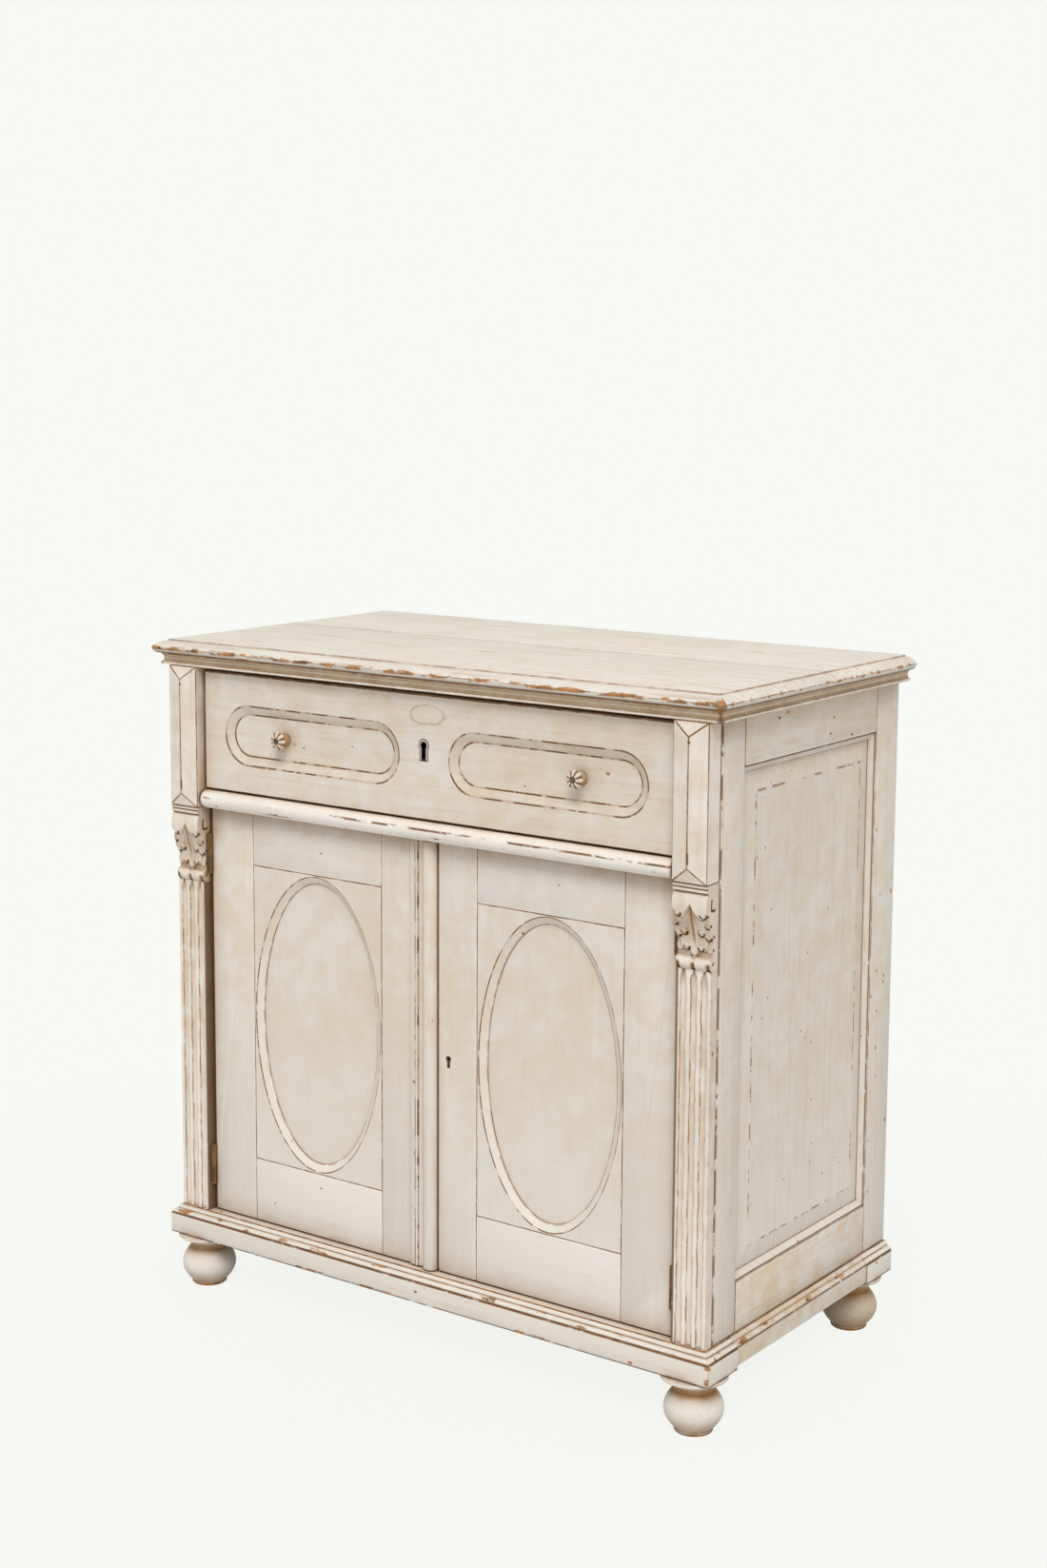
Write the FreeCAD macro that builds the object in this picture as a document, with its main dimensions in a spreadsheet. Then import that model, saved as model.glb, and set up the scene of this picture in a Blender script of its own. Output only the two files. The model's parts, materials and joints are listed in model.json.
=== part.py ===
"""Low painted cupboard: one drawer over two oval-panelled doors, on a plinth with bun feet.

Millimetres, +Z up, the front faces -Y, the origin is on the floor under the middle of the top.
Every size is a cell of the sheet Sizes; every piece is bound to those cells.
"""
import FreeCAD, Part
import math
import os
import re

import Sketcher

# Driving dimensions: name, millimetres, what it measures
SIZES = (
    # Whole cupboard
    ("overall_height", 1000.0, "floor to the top boards' upper face"),
    ("carcass_width", 940.0, "across the outer faces of the posts"),
    ("carcass_depth", 492.0, "front of the front posts to the back"),
    ("fit_gap", 0.1, "clearance of a glued or nailed fit"),
    ("running_gap", 0.3, "clearance of a sliding or turning fit"),
    # Top and cornice
    ("top_thickness", 20.0, "thickness of the top boards"),
    ("top_seam", 255.0, "front of the front posts to the seam of the top boards"),
    ("nose_front", 39.0, "overhang of the top's nose in front of the front posts"),
    ("nose_side", 27.0, "overhang of the top's nose past the posts' outer faces"),
    ("nose_flat", 18.0, "nose tip to the end of the flat top"),
    ("nose_step", 2.0, "small step down at the end of the flat top"),
    ("nose_drop", 11.5, "top face down to the nose tip"),
    ("nose_under", 5.5, "nose tip back to the underside"),
    ("nose_thumb_radius", 22.0, "upper curve of the nose"),
    ("nose_lip_radius", 9.4, "lower curve of the nose"),
    ("cornice_height", 17.0, "height of the moulding under the top"),
    ("cornice_fillet", 4.0, "height of its bottom fillet"),
    ("cornice_foot", 17.0, "projection of its bottom fillet"),
    ("cornice_step", 1.5, "step from the fillet into the cove"),
    ("cornice_head", 19.5, "projection at its head"),
    ("cornice_cove", 8.0, "radius of its cove"),
    # Posts and side frames
    ("post_width", 56.0, "front posts, seen from the front"),
    ("front_post_depth", 61.0, "front posts, seen from the side"),
    ("back_post_width", 30.0, "back posts, seen from the back"),
    ("back_post_depth", 66.0, "back posts, seen from the side"),
    ("side_rail_thickness", 24.0, "rails of the side frames"),
    ("side_top_rail_height", 85.0, "top rails of the side frames"),
    ("side_bottom_rail_height", 71.0, "bottom rails of the side frames"),
    ("tenon_length", 20.0, "rail tenons into the posts"),
    ("tenon_shoulder", 10.0, "rail edge to tenon edge"),
    ("panel_tongue", 8.0, "thickness of a side panel at its edge"),
    ("panel_lip", 7.0, "depth of the panel grooves"),
    ("panel_sink", 5.0, "side panel field behind the frame's face"),
    ("panel_rise", 7.0, "height of the side panel's bevels"),
    ("panel_border", 38.0, "frame edge to the side panel's field"),
    ("bead_width", 10.0, "panel moulding across the panel"),
    ("bead_edge", 1.5, "panel moulding at its inner edge"),
    # Rails and boards inside
    ("drawer_opening", 184.0, "drawer rail to the cornice"),
    ("drawer_rail_height", 27.0, "rail and nosing between drawer and doors"),
    ("drawer_rail_depth", 70.0, "front to back of the drawer rail"),
    ("front_tenon_thickness", 11.0, "height of the front rails' tenons"),
    ("nosing_proud", 16.0, "straight part of the nosing in front of the posts"),
    ("top_rail_depth", 40.0, "front top rail behind the posts' front"),
    ("floor_thickness", 18.0, "cupboard floor"),
    ("shelf_thickness", 18.0, "shelf"),
    ("shelf_height", 318.0, "plinth top to the shelf's underside"),
    ("shelf_setback", 40.0, "front of the posts to the shelf's front edge"),
    ("batten_width", 20.0, "shelf battens across"),
    ("batten_height", 26.0, "shelf battens upright"),
    ("runner_width", 56.0, "drawer runners across"),
    ("runner_height", 20.0, "drawer runners upright"),
    ("guide_height", 16.0, "guide strip standing on a runner"),
    ("back_thickness", 12.0, "back boards"),
    ("back_inset", 2.0, "back boards inside the posts' back faces"),
    # Pilasters
    ("block_width", 54.0, "diamond-cut block"),
    ("block_proud", 30.0, "block edges in front of the posts"),
    ("block_roof", 6.0, "ridge of the block above its edges"),
    ("block_ridge", 1.0, "width of the ridge"),
    ("block_hip", 20.0, "height of the sloping triangles at the block's ends"),
    ("shaft_width", 53.0, "fluted shaft and capital"),
    ("shaft_proud", 15.0, "shaft in front of the posts"),
    ("capital_height", 116.0, "capital with its necking and base roll"),
    ("necking_height", 11.0, "flat band on top of the capital"),
    ("necking_proud", 28.0, "band in front of the posts"),
    ("leaf_height", 42.0, "swelling upper part of the leaf"),
    ("leaf_radius", 57.0, "curve of the swelling"),
    ("leaf_top_proud", 27.5, "leaf at its top in front of the posts"),
    ("leaf_low_proud", 25.5, "leaf under its swelling in front of the posts"),
    ("leaf_waist_proud", 16.5, "leaf at its waist in front of the posts"),
    ("leaf_sweep", 30.0, "height of the sweep down to the waist"),
    ("leaf_sweep_radius", 40.0, "curve of the sweep"),
    ("capital_roll", 15.0, "height of the roll at the capital's base"),
    ("capital_roll_radius", 9.0, "curve of that roll"),
    ("vein_width", 4.0, "sunk stem down the middle of the leaf"),
    ("vein_sink", 2.0, "depth of that stem"),
    ("eyelet_radius", 2.4, "drilled eyelets between the leaf's lobes"),
    ("upper_eyelet_across", 19.0, "leaf's middle to an upper eyelet"),
    ("upper_eyelet_drop", 30.0, "leaf's top down to an upper eyelet"),
    ("upper_eyelet_floor", 24.0, "floor of an upper eyelet in front of the posts"),
    ("middle_eyelet_across", 12.0, "leaf's middle to a middle eyelet"),
    ("middle_eyelet_drop", 57.0, "leaf's top down to a middle eyelet"),
    ("middle_eyelet_floor", 13.0, "floor of a middle eyelet in front of the posts"),
    ("lower_eyelet_across", 9.0, "leaf's middle to a lower eyelet"),
    ("lower_eyelet_drop", 76.0, "leaf's top down to a lower eyelet"),
    ("lower_eyelet_floor", 12.0, "floor of a lower eyelet in front of the posts"),
    ("scallop_radius", 2.5, "notches across the base roll"),
    ("scallop_across", 9.0, "leaf's middle to a notch"),
    ("flute_radius", 4.5, "radius of a flute"),
    ("flute_depth", 3.0, "depth of a flute"),
    ("flute_pitch", 16.0, "spacing of the flutes"),
    ("flute_stop", 12.0, "plain length below the flutes"),
    # Plinth and feet
    ("foot_height", 80.0, "floor to the plinth"),
    ("plinth_face_height", 31.0, "plain face of the plinth"),
    ("plinth_overhang", 14.0, "plinth face past the posts and shafts"),
    ("plinth_rail_depth", 77.0, "front and back plinth rails, front to back"),
    ("plinth_side_width", 44.0, "side plinth rails across"),
    ("plinth_side_lift", 4.0, "side plinth rails shallower at the bottom"),
    ("plinth_step", 1.5, "step in front of each bead"),
    ("plinth_bead_run", 5.0, "each bead, across"),
    ("plinth_bead_rise", 6.0, "each bead, upright"),
    ("plinth_bead_radius", 5.0, "curve of each bead"),
    ("plinth_fillet", 1.0, "fillet above the beads"),
    ("foot_inset_side", 44.0, "plinth's side face to a foot's middle"),
    ("foot_inset_front", 37.0, "plinth's front face to a foot's middle"),
    ("foot_inset_back", 47.0, "back to a foot's middle"),
    ("foot_pad_radius", 26.5, "base of a foot"),
    ("foot_pad_height", 5.0, "base of a foot"),
    ("foot_ball_radius", 33.0, "curve of the ball's side"),
    ("foot_ball_height", 53.0, "ball between base and neck"),
    ("foot_neck_radius", 28.5, "neck of a foot"),
    ("foot_neck_height", 4.0, "neck of a foot"),
    ("foot_collar_radius", 46.5, "collar under the plinth"),
    ("foot_collar_edge", 4.0, "straight edge of the collar"),
    ("foot_flare_radius", 24.0, "hollow under the collar"),
    ("foot_spigot_radius", 12.0, "spigot turned on the foot"),
    ("foot_spigot_height", 24.0, "spigot turned on the foot"),
    # Drawer
    ("front_gap", 2.0, "gap round the drawer and the doors"),
    ("drawer_top_gap", 6.5, "gap over the drawer front"),
    ("drawer_proud", 15.5, "drawer face in front of the posts"),
    ("drawer_front_thickness", 24.0, "drawer front"),
    ("drawer_back_clear", 39.5, "drawer box to the back boards"),
    ("drawer_side_thickness", 14.0, "drawer sides and back"),
    ("drawer_side_height", 150.0, "drawer sides and back"),
    ("drawer_bottom_thickness", 9.0, "drawer bottom"),
    ("drawer_bottom_lift", 12.0, "lower edge of the sides to the bottom"),
    ("drawer_groove", 6.0, "depth of the grooves for the bottom"),
    ("tail_length", 15.0, "dovetails of the sides into the front"),
    ("tail_width", 34.0, "wide end of a dovetail"),
    ("tail_taper", 3.0, "narrowing of a dovetail on each edge"),
    ("sink_length", 326.0, "sunk round-ended panel, over all"),
    ("sink_height", 88.0, "sunk round-ended panel, over all"),
    ("sink_bevel", 13.0, "width of its sloping border"),
    ("sink_depth", 7.0, "depth of its floor"),
    ("sink_middle", 207.0, "middle of the cupboard to a sunk panel's middle"),
    ("sink_level", 88.0, "drawer rail to the sunk panels' middle"),
    ("knob_middle", 260.0, "middle of the cupboard to a knob"),
    ("knob_rose_radius", 10.0, "foot of a knob"),
    ("knob_rose_height", 3.0, "foot of a knob"),
    ("knob_stem_radius", 6.0, "stem of a knob"),
    ("knob_stem_length", 10.0, "stem of a knob"),
    ("knob_radius", 14.0, "head of a knob"),
    ("knob_edge", 4.0, "straight edge of the head"),
    ("knob_face_radius", 9.0, "flat middle of the head"),
    ("knob_crown", 5.0, "rise of the head in front of its edge"),
    ("knob_flute_radius", 4.0, "hollows round the head"),
    ("knob_flute_depth", 1.8, "hollows round the head"),
    ("key_radius", 5.0, "round of the drawer keyhole"),
    ("key_slot_width", 6.5, "slot of the drawer keyhole"),
    ("key_slot_length", 18.0, "round's middle to the slot's foot"),
    ("key_rim", 3.0, "width of the inlaid rim"),
    ("key_rim_depth", 3.0, "depth of the inlaid rim"),
    ("key_level", 106.5, "drawer rail to the middle of the keyhole's round"),
    ("lock_width", 64.0, "drawer lock case"),
    ("lock_height", 90.0, "drawer lock case"),
    ("lock_depth", 12.0, "lock cases, front to back"),
    ("lock_drop", 12.0, "top of the drawer front to the lock case"),
    ("lock_key_depth", 8.0, "keyway into a lock case"),
    # Doors
    ("door_thickness", 22.0, "door frames"),
    ("door_proud", 4.0, "door faces in front of the posts"),
    ("door_meeting", 16.5, "middle of the cupboard to the gap between the doors"),
    ("meeting_gap", 2.5, "gap between the doors"),
    ("oval_middle", 207.0, "middle of the cupboard to a door panel's middle"),
    ("oval_width", 244.0, "door panel opening across"),
    ("door_top_rail_height", 78.0, "top rails of the doors"),
    ("door_bottom_rail_height", 96.0, "bottom rails of the doors"),
    ("oval_margin", 1.0, "door frame to the oval's outer edge"),
    ("oval_bevel", 14.0, "width of the oval's sloping border"),
    ("oval_depth", 7.0, "depth of that border"),
    ("oval_frame_thickness", 8.0, "board with the oval opening"),
    ("door_panel_thickness", 8.0, "panel behind the oval"),
    ("door_tenon_length", 34.0, "tenons of the door rails"),
    ("strip_width", 46.0, "closing strip"),
    ("strip_fillet", 3.0, "thickness of the strip's flat"),
    ("strip_flat", 9.0, "width of the strip's flat"),
    ("strip_quirk", 9.0, "sunk band between the strip's bead and round"),
    ("strip_sink", 1.0, "depth of that band"),
    ("strip_bead", 5.0, "width of the strip's small bead"),
    ("strip_bead_radius", 3.0, "curve of the small bead"),
    ("strip_round_radius", 12.5, "curve of the strip's large round"),
    ("hinge_inset", 40.0, "door end to the nearer end of a hinge"),
    ("leaf_length", 30.0, "each leaf of a hinge, upright"),
    ("leaf_reach", 22.0, "leaf behind the door's face"),
    ("leaf_thickness", 1.5, "hinge leaves"),
    ("knuckle_radius", 3.6, "hinge knuckles"),
    ("knuckle_clear", 0.4, "knuckles in front of the door's face"),
    ("pin_radius", 2.0, "hinge pins"),
    ("pin_clearance", 0.05, "pin in its knuckle, all round"),
    ("pin_length", 26.0, "pin above its knuckle"),
    ("door_lock_width", 42.0, "door lock case"),
    ("door_lock_height", 72.0, "door lock case"),
    ("door_key_inset", 17.5, "closing edge to the keyhole's middle"),
    ("door_key_level", 317.0, "plinth top to the middle of the keyhole's round"),
    ("door_key_radius", 3.5, "round of the door keyhole"),
    ("door_key_slot_width", 4.5, "slot of the door keyhole"),
    ("door_key_slot_length", 11.0, "round's middle to the slot's foot"),
    ("door_lock_shift", 6.0, "keyhole to the middle of the door lock case"),
)

BACK_BOARDS = 4
FLUTES = 3
KNOB_FLUTES = 8
DOVETAILS = 3

# Places worked out from the driving dimensions
PLACES = {
    "half_width": "carcass_width / 2",
    "front": "(nose_front - carcass_depth) / 2",
    "back": "(nose_front + carcass_depth) / 2",
    "plinth_mould_height": "2 * plinth_bead_rise + plinth_fillet",
    "plinth_face_top": "foot_height + plinth_face_height",
    "plinth_top": "plinth_face_top + plinth_mould_height",
    "plinth_front": "front - shaft_proud - plinth_overhang",
    "plinth_side": "half_width + plinth_overhang",
    "top_underside": "overall_height - top_thickness",
    "cornice_bottom": "top_underside - cornice_height",
    "cornice_seat": "front - nose_front + nose_side",
    "opening_half": "half_width - post_width",
    "side_front": "front + front_post_depth",
    "side_back": "back - back_post_depth",
    "side_low": "plinth_top + side_bottom_rail_height",
    "side_high": "top_underside - side_top_rail_height",
    "panel_face": "half_width - panel_sink",
    "panel_bevel_foot": "panel_face - panel_rise",
    "panel_back": "panel_bevel_foot - panel_tongue",
    "panel_groove_face": "panel_bevel_foot + panel_rise * panel_lip / (panel_lip + panel_border)",
    "bead_seat": "panel_bevel_foot + panel_rise * (panel_lip + bead_width) / (panel_lip + panel_border)",
    "drawer_rail_top": "cornice_bottom - drawer_opening",
    "drawer_rail_bottom": "drawer_rail_top - drawer_rail_height",
    "boards_front": "back - back_inset - back_thickness",
    "shaft_inner": "half_width - shaft_width",
    "block_inner": "half_width - block_width",
    "capital_bottom": "drawer_rail_bottom - capital_height",
    "drawer_half": "opening_half - front_gap",
    "drawer_face": "front - drawer_proud",
    "drawer_inside": "drawer_face + drawer_front_thickness",
    "drawer_bottom_edge": "drawer_rail_top + front_gap",
    "drawer_back_end": "boards_front - drawer_back_clear",
    "door_face": "front - door_proud",
    "door_back": "door_face + door_thickness",
    "door_low": "plinth_top + front_gap",
    "door_high": "drawer_rail_bottom - front_gap",
    "panel_low": "door_low + door_bottom_rail_height",
    "panel_high": "door_high - door_top_rail_height",
    "door_panel_face": "door_face + oval_frame_thickness",
    "door_panel_back": "door_panel_face + door_panel_thickness",
    "hinge_x": "opening_half - front_gap / 2",
    "hinge_y": "door_face - knuckle_radius - knuckle_clear",
}

# Spans and places that several pieces share: the drawer rail's tenon, the lower end of each hinge,
# the feet and the door's keyhole
DRAWER_TENON_Y = ("front + tenon_shoulder", "side_front - tenon_shoulder")
DRAWER_TENON_Z = ("drawer_rail_bottom + (drawer_rail_height - front_tenon_thickness) / 2",
                  "drawer_rail_top - (drawer_rail_height - front_tenon_thickness) / 2")
HINGES = {"low": "door_low + hinge_inset",
          "high": "door_high - hinge_inset - 2 * leaf_length - running_gap"}
FOOT_X = {"left": "-(plinth_side - foot_inset_side)", "right": "plinth_side - foot_inset_side"}
FOOT_Y = {"front": "plinth_front + foot_inset_front", "back": "back - foot_inset_back"}
DOOR_KEY_X = "(door_meeting + meeting_gap / 2 + door_key_inset)"
DOOR_KEY_Z = "(plinth_top + door_key_level)"
DOOR_KEY_SIZE = ("door_key_radius", "door_key_slot_width", "door_key_slot_length")

doc = FreeCAD.newDocument("LowCupboard")
sheet = doc.addObject("Spreadsheet::Sheet", "Sizes")
NAMES = {name for name, _, _ in SIZES}
nodes = {}


def fill_sheet():
    """Write each driving dimension to a cell with its name as alias."""
    for row, (name, size, meaning) in enumerate(SIZES, start=1):
        sheet.set(f"A{row}", name)
        sheet.set(f"B{row}", str(size))
        sheet.setAlias(f"B{row}", name)
        sheet.set(f"C{row}", meaning)
    doc.recompute()


def bound(formula):
    """Spell a formula of sizes and places in terms of the sheet's cells."""
    def cell(match):
        word = match.group(0)
        if word in PLACES:
            return f"({bound(PLACES[word])})"
        return f"Sizes.{word}" if word in NAMES else word
    return re.sub(r"[a-z_]+", cell, str(formula))


def number(formula):
    """Value of a formula with the sheet's present sizes."""
    return float(sheet.evalExpression(bound(formula)))


def bind(thing, prop, formula):
    """Tie one property of an object to a formula."""
    thing.setExpression(prop, bound(formula))


def place(thing, x, y, z, axis=(0, 0, 1), angle=0.0):
    """Turn an object about an axis, then tie its base point to three formulas."""
    turn = FreeCAD.Rotation(FreeCAD.Vector(*axis), angle)
    thing.Placement = FreeCAD.Placement(FreeCAD.Vector(), turn)
    for letter, formula in zip("xyz", (x, y, z)):
        bind(thing, f"Placement.Base.{letter}", formula)


def slab(name, x, y, z):
    """Rectangular block between low and high formulas on each axis."""
    block = doc.addObject("Part::Box", name)
    for prop, (low, high) in zip(("Length", "Width", "Height"), (x, y, z)):
        bind(block, prop, f"({high}) - ({low})")
    place(block, x[0], y[0], z[0])
    return block


def rod(name, axis, radius, x, y, z, length):
    """Cylinder from a base point along one axis."""
    turns = {"x": ((0, 1, 0), 90.0), "y": ((1, 0, 0), -90.0), "z": ((0, 0, 1), 0.0)}
    cylinder = doc.addObject("Part::Cylinder", name)
    bind(cylinder, "Radius", radius)
    bind(cylinder, "Height", length)
    place(cylinder, x, y, z, *turns[axis])
    return cylinder


def frustum(name, near, far, rise, x, y, z, axis=(0, 0, 1), angle=0.0):
    """Block whose rectangle near (x, z pairs) runs to the rectangle far, rise away along its own Y."""
    wedge = doc.addObject("Part::Wedge", name)
    edges = ("Xmin", "Xmax", "Zmin", "Zmax", "X2min", "X2max", "Z2min", "Z2max")
    for prop, formula in zip(edges, (*near, *far)):
        bind(wedge, prop, formula)
    wedge.Ymin = 0
    bind(wedge, "Ymax", rise)
    place(wedge, x, y, z, axis, angle)
    return wedge


def fused(name, *pieces):
    """One solid from several."""
    joined = doc.addObject("Part::MultiFuse", name)
    joined.Shapes = list(pieces)
    joined.Refine = True
    return joined


def common(name, first, second):
    """What two solids share."""
    shared = doc.addObject("Part::Common", name)
    shared.Base = first
    shared.Tool = second
    return shared


def without(name, stock, *tools):
    """Stock with the tools cut away."""
    cut = doc.addObject("Part::Cut", name)
    cut.Base = stock
    cut.Tool = tools[0] if len(tools) == 1 else fused(name + "_cuts", *tools)
    return cut


def mirrored(name, source):
    """The left-hand twin of a right-hand solid."""
    twin = doc.addObject("Part::Mirroring", name)
    twin.Source = source
    twin.Normal = FreeCAD.Vector(1, 0, 0)
    return twin


def group(name, *pieces):
    """Separate solids that share one node."""
    together = doc.addObject("Part::Compound", name)
    together.Links = list(pieces)
    return together


def node(label, thing):
    """Keep a finished solid as a sub-part under its label."""
    thing.Label = label
    nodes[label] = thing
    return thing


def pair(stem, right):
    """Keep a right-hand solid and its left-hand twin."""
    node(f"{stem}_right", right)
    node(f"{stem}_left", mirrored(f"{stem}_left", right))


def sketch_on(body, role, name):
    """New sketch on one of the body's own origin planes."""
    sketch = body.newObject("Sketcher::SketchObject", name)
    plane = next(feature for feature in body.Origin.OriginFeatures if feature.Role == role)
    sketch.AttachmentSupport = [(plane, "")]
    sketch.MapMode = "FlatFace"
    return sketch


def outline(sketch, corners):
    """Close a profile through corners (two formulas each), tied to the sheet.

    A third formula on a corner bows the edge that leaves it, as an arc of that radius:
    to the left of the way round where positive, to the right where negative.
    """
    spots = [FreeCAD.Vector(number(corner[0]), number(corner[1]), 0) for corner in corners]
    ends = []
    for index, corner in enumerate(corners):
        start, stop = spots[index], spots[(index + 1) % len(corners)]
        if len(corner) == 2:
            sketch.addGeometry(Part.LineSegment(start, stop), False)
            ends.append((1, 2))
            continue
        radius = number(corner[2])
        chord = stop - start
        left = FreeCAD.Vector(-chord.y, chord.x, 0).normalize()
        sag = abs(radius) - math.sqrt(radius ** 2 - chord.Length ** 2 / 4)
        crest = (start + stop) * 0.5 + left * math.copysign(sag, radius)
        sketch.addGeometry(Part.Arc(start, crest, stop), False)
        ends.append((2, 1) if radius > 0 else (1, 2))
    for index, corner in enumerate(corners):
        following = (index + 1) % len(corners)
        sketch.addConstraint(
            Sketcher.Constraint("Coincident", index, ends[index][1], following, ends[following][0]))
        for kind, formula in zip(("DistanceX", "DistanceY"), corner):
            rule = sketch.addConstraint(
                Sketcher.Constraint(kind, index, ends[index][0], number(formula)))
            sketch.setExpression(f"Constraints[{rule}]", bound(formula))
        if len(corner) == 3:
            rule = sketch.addConstraint(
                Sketcher.Constraint("Radius", index, abs(number(corner[2]))))
            sketch.setExpression(f"Constraints[{rule}]", bound(f"abs({corner[2]})"))


def extruded(name, axis, corners, low, high):
    """Profile drawn square to an axis and padded along it from low to high."""
    role, offset = {"x": ("YZ_Plane", low), "y": ("XZ_Plane", f"-({high})"), "z": ("XY_Plane", low)}[axis]
    body = doc.addObject("PartDesign::Body", name)
    sketch = sketch_on(body, role, name + "_profile")
    outline(sketch, corners)
    bind(sketch, "AttachmentOffset.Base.z", offset)
    pad = body.newObject("PartDesign::Pad", name + "_pad")
    pad.Profile = sketch
    bind(pad, "Length", f"({high}) - ({low})")
    return body


def turned(name, role, corners):
    """Profile spun round its sketch's upright axis."""
    body = doc.addObject("PartDesign::Body", name)
    sketch = sketch_on(body, role, name + "_profile")
    outline(sketch, corners)
    spin = body.newObject("PartDesign::Revolution", name + "_turning")
    spin.Profile = sketch
    spin.ReferenceAxis = (sketch, ["V_Axis"])
    spin.Angle = 360
    return body


def grown(span, by):
    """A low and high pair opened by a clearance at both ends."""
    return (f"({span[0]}) - {by}", f"({span[1]}) + {by}")


def nose_rising(tip):
    """Nose of the top drawn upwards, with the boards to the right of it."""
    return [
        (f"{tip} + nose_under", "top_underside", "nose_lip_radius"),
        (tip, "overall_height - nose_drop", "nose_thumb_radius"),
        (f"{tip} + nose_flat", "overall_height - nose_step"),
        (f"{tip} + nose_flat", "overall_height"),
    ]


def nose_falling(tip):
    """Nose of the top drawn downwards, with the boards to the left of it."""
    return [
        (f"{tip} - nose_flat", "overall_height"),
        (f"{tip} - nose_flat", "overall_height - nose_step", "nose_thumb_radius"),
        (tip, "overall_height - nose_drop", "nose_lip_radius"),
        (f"{tip} - nose_under", "top_underside"),
    ]


def plinth_beads_falling(face):
    """Beads of the plinth drawn downwards, with the timber to the left of them."""
    top_bead = "plinth_face_top + 2 * plinth_bead_rise"
    low_bead = "plinth_face_top + plinth_bead_rise"
    return [
        (f"{face} - 2 * plinth_step - 2 * plinth_bead_run", "plinth_top"),
        (f"{face} - 2 * plinth_step - 2 * plinth_bead_run", top_bead, "plinth_bead_radius"),
        (f"{face} - 2 * plinth_step - plinth_bead_run", low_bead),
        (f"{face} - plinth_step - plinth_bead_run", low_bead, "plinth_bead_radius"),
        (f"{face} - plinth_step", "plinth_face_top"),
    ]


def plinth_beads_rising(face):
    """Beads of the plinth drawn upwards, with the timber to the right of them."""
    top_bead = "plinth_face_top + 2 * plinth_bead_rise"
    low_bead = "plinth_face_top + plinth_bead_rise"
    return [
        (f"{face} + plinth_step", "plinth_face_top", "plinth_bead_radius"),
        (f"{face} + plinth_step + plinth_bead_run", low_bead),
        (f"{face} + 2 * plinth_step + plinth_bead_run", low_bead, "plinth_bead_radius"),
        (f"{face} + 2 * plinth_step + 2 * plinth_bead_run", top_bead),
        (f"{face} + 2 * plinth_step + 2 * plinth_bead_run", "plinth_top"),
    ]


def build_top():
    """Two boards with a nose along the front and both ends."""
    tip = "half_width + nose_side"
    seam = "front + top_seam"
    ends = nose_rising(f"-({tip})") + nose_falling(tip)
    section = nose_rising("front - nose_front")
    section += [(seam, "overall_height"), (seam, "top_underside")]
    along = extruded("top_front_length", "x", section, f"-({tip})", tip)
    across = extruded("top_front_ends", "y", ends, "front - nose_front", seam)
    node("top_front_board", common("top_front_board", along, across))
    node("top_back_board", extruded("top_back_board", "y", ends, f"{seam} + fit_gap", "back"))


def build_cornice():
    """Hollow moulding under the top's nose, mitred at the front corners."""
    reach = "cornice_head"
    section = [
        ("cornice_seat", "cornice_bottom"),
        ("cornice_seat - cornice_foot", "cornice_bottom"),
        ("cornice_seat - cornice_foot", "cornice_bottom + cornice_fillet"),
        ("cornice_seat - cornice_foot + cornice_step", "cornice_bottom + cornice_fillet", "-cornice_cove"),
        ("cornice_seat - cornice_head", "top_underside"),
        ("cornice_seat", "top_underside"),
    ]
    stock = extruded("cornice_front_stock", "x", section, f"-(half_width + {reach})", f"half_width + {reach}")
    mitres = extruded("cornice_front_mitres", "z", [
        ("-half_width", "cornice_seat"),
        (f"-(half_width + {reach})", f"cornice_seat - {reach}"),
        (f"half_width + {reach}", f"cornice_seat - {reach}"),
        ("half_width", "cornice_seat"),
    ], "cornice_bottom", "top_underside")
    node("cornice_front", common("cornice_front", stock, mitres))

    section = [
        ("half_width", "cornice_bottom"),
        ("half_width + cornice_foot", "cornice_bottom"),
        ("half_width + cornice_foot", "cornice_bottom + cornice_fillet"),
        ("half_width + cornice_foot - cornice_step", "cornice_bottom + cornice_fillet", "cornice_cove"),
        ("half_width + cornice_head", "top_underside"),
        ("half_width", "top_underside"),
    ]
    stock = extruded("cornice_side_stock", "y", section, f"cornice_seat - {reach}", "back")
    mitre = extruded("cornice_side_mitre", "z", [
        ("half_width", "cornice_seat"),
        (f"half_width + {reach}", f"cornice_seat - {reach}"),
        (f"half_width + {reach}", "back"),
        ("half_width", "back"),
    ], "cornice_bottom", "top_underside")
    pair("cornice", common("cornice_right", stock, mitre))


def side_rail(name, z):
    """Right-hand side rail with a tenon at both ends, before its panel groove is cut."""
    tenon_z = (f"{z[0]} + tenon_shoulder", f"{z[1]} - tenon_shoulder")
    tenon_x = ("panel_back", "panel_bevel_foot")
    bar_x = ("half_width - side_rail_thickness", "half_width")
    return fused(
        name,
        slab(name + "_bar", bar_x, ("side_front", "side_back"), z),
        slab(name + "_front_tenon", tenon_x, ("side_front - tenon_length", "side_front"), tenon_z),
        slab(name + "_back_tenon", tenon_x, ("side_back", "side_back + tenon_length"), tenon_z),
    )


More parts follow.
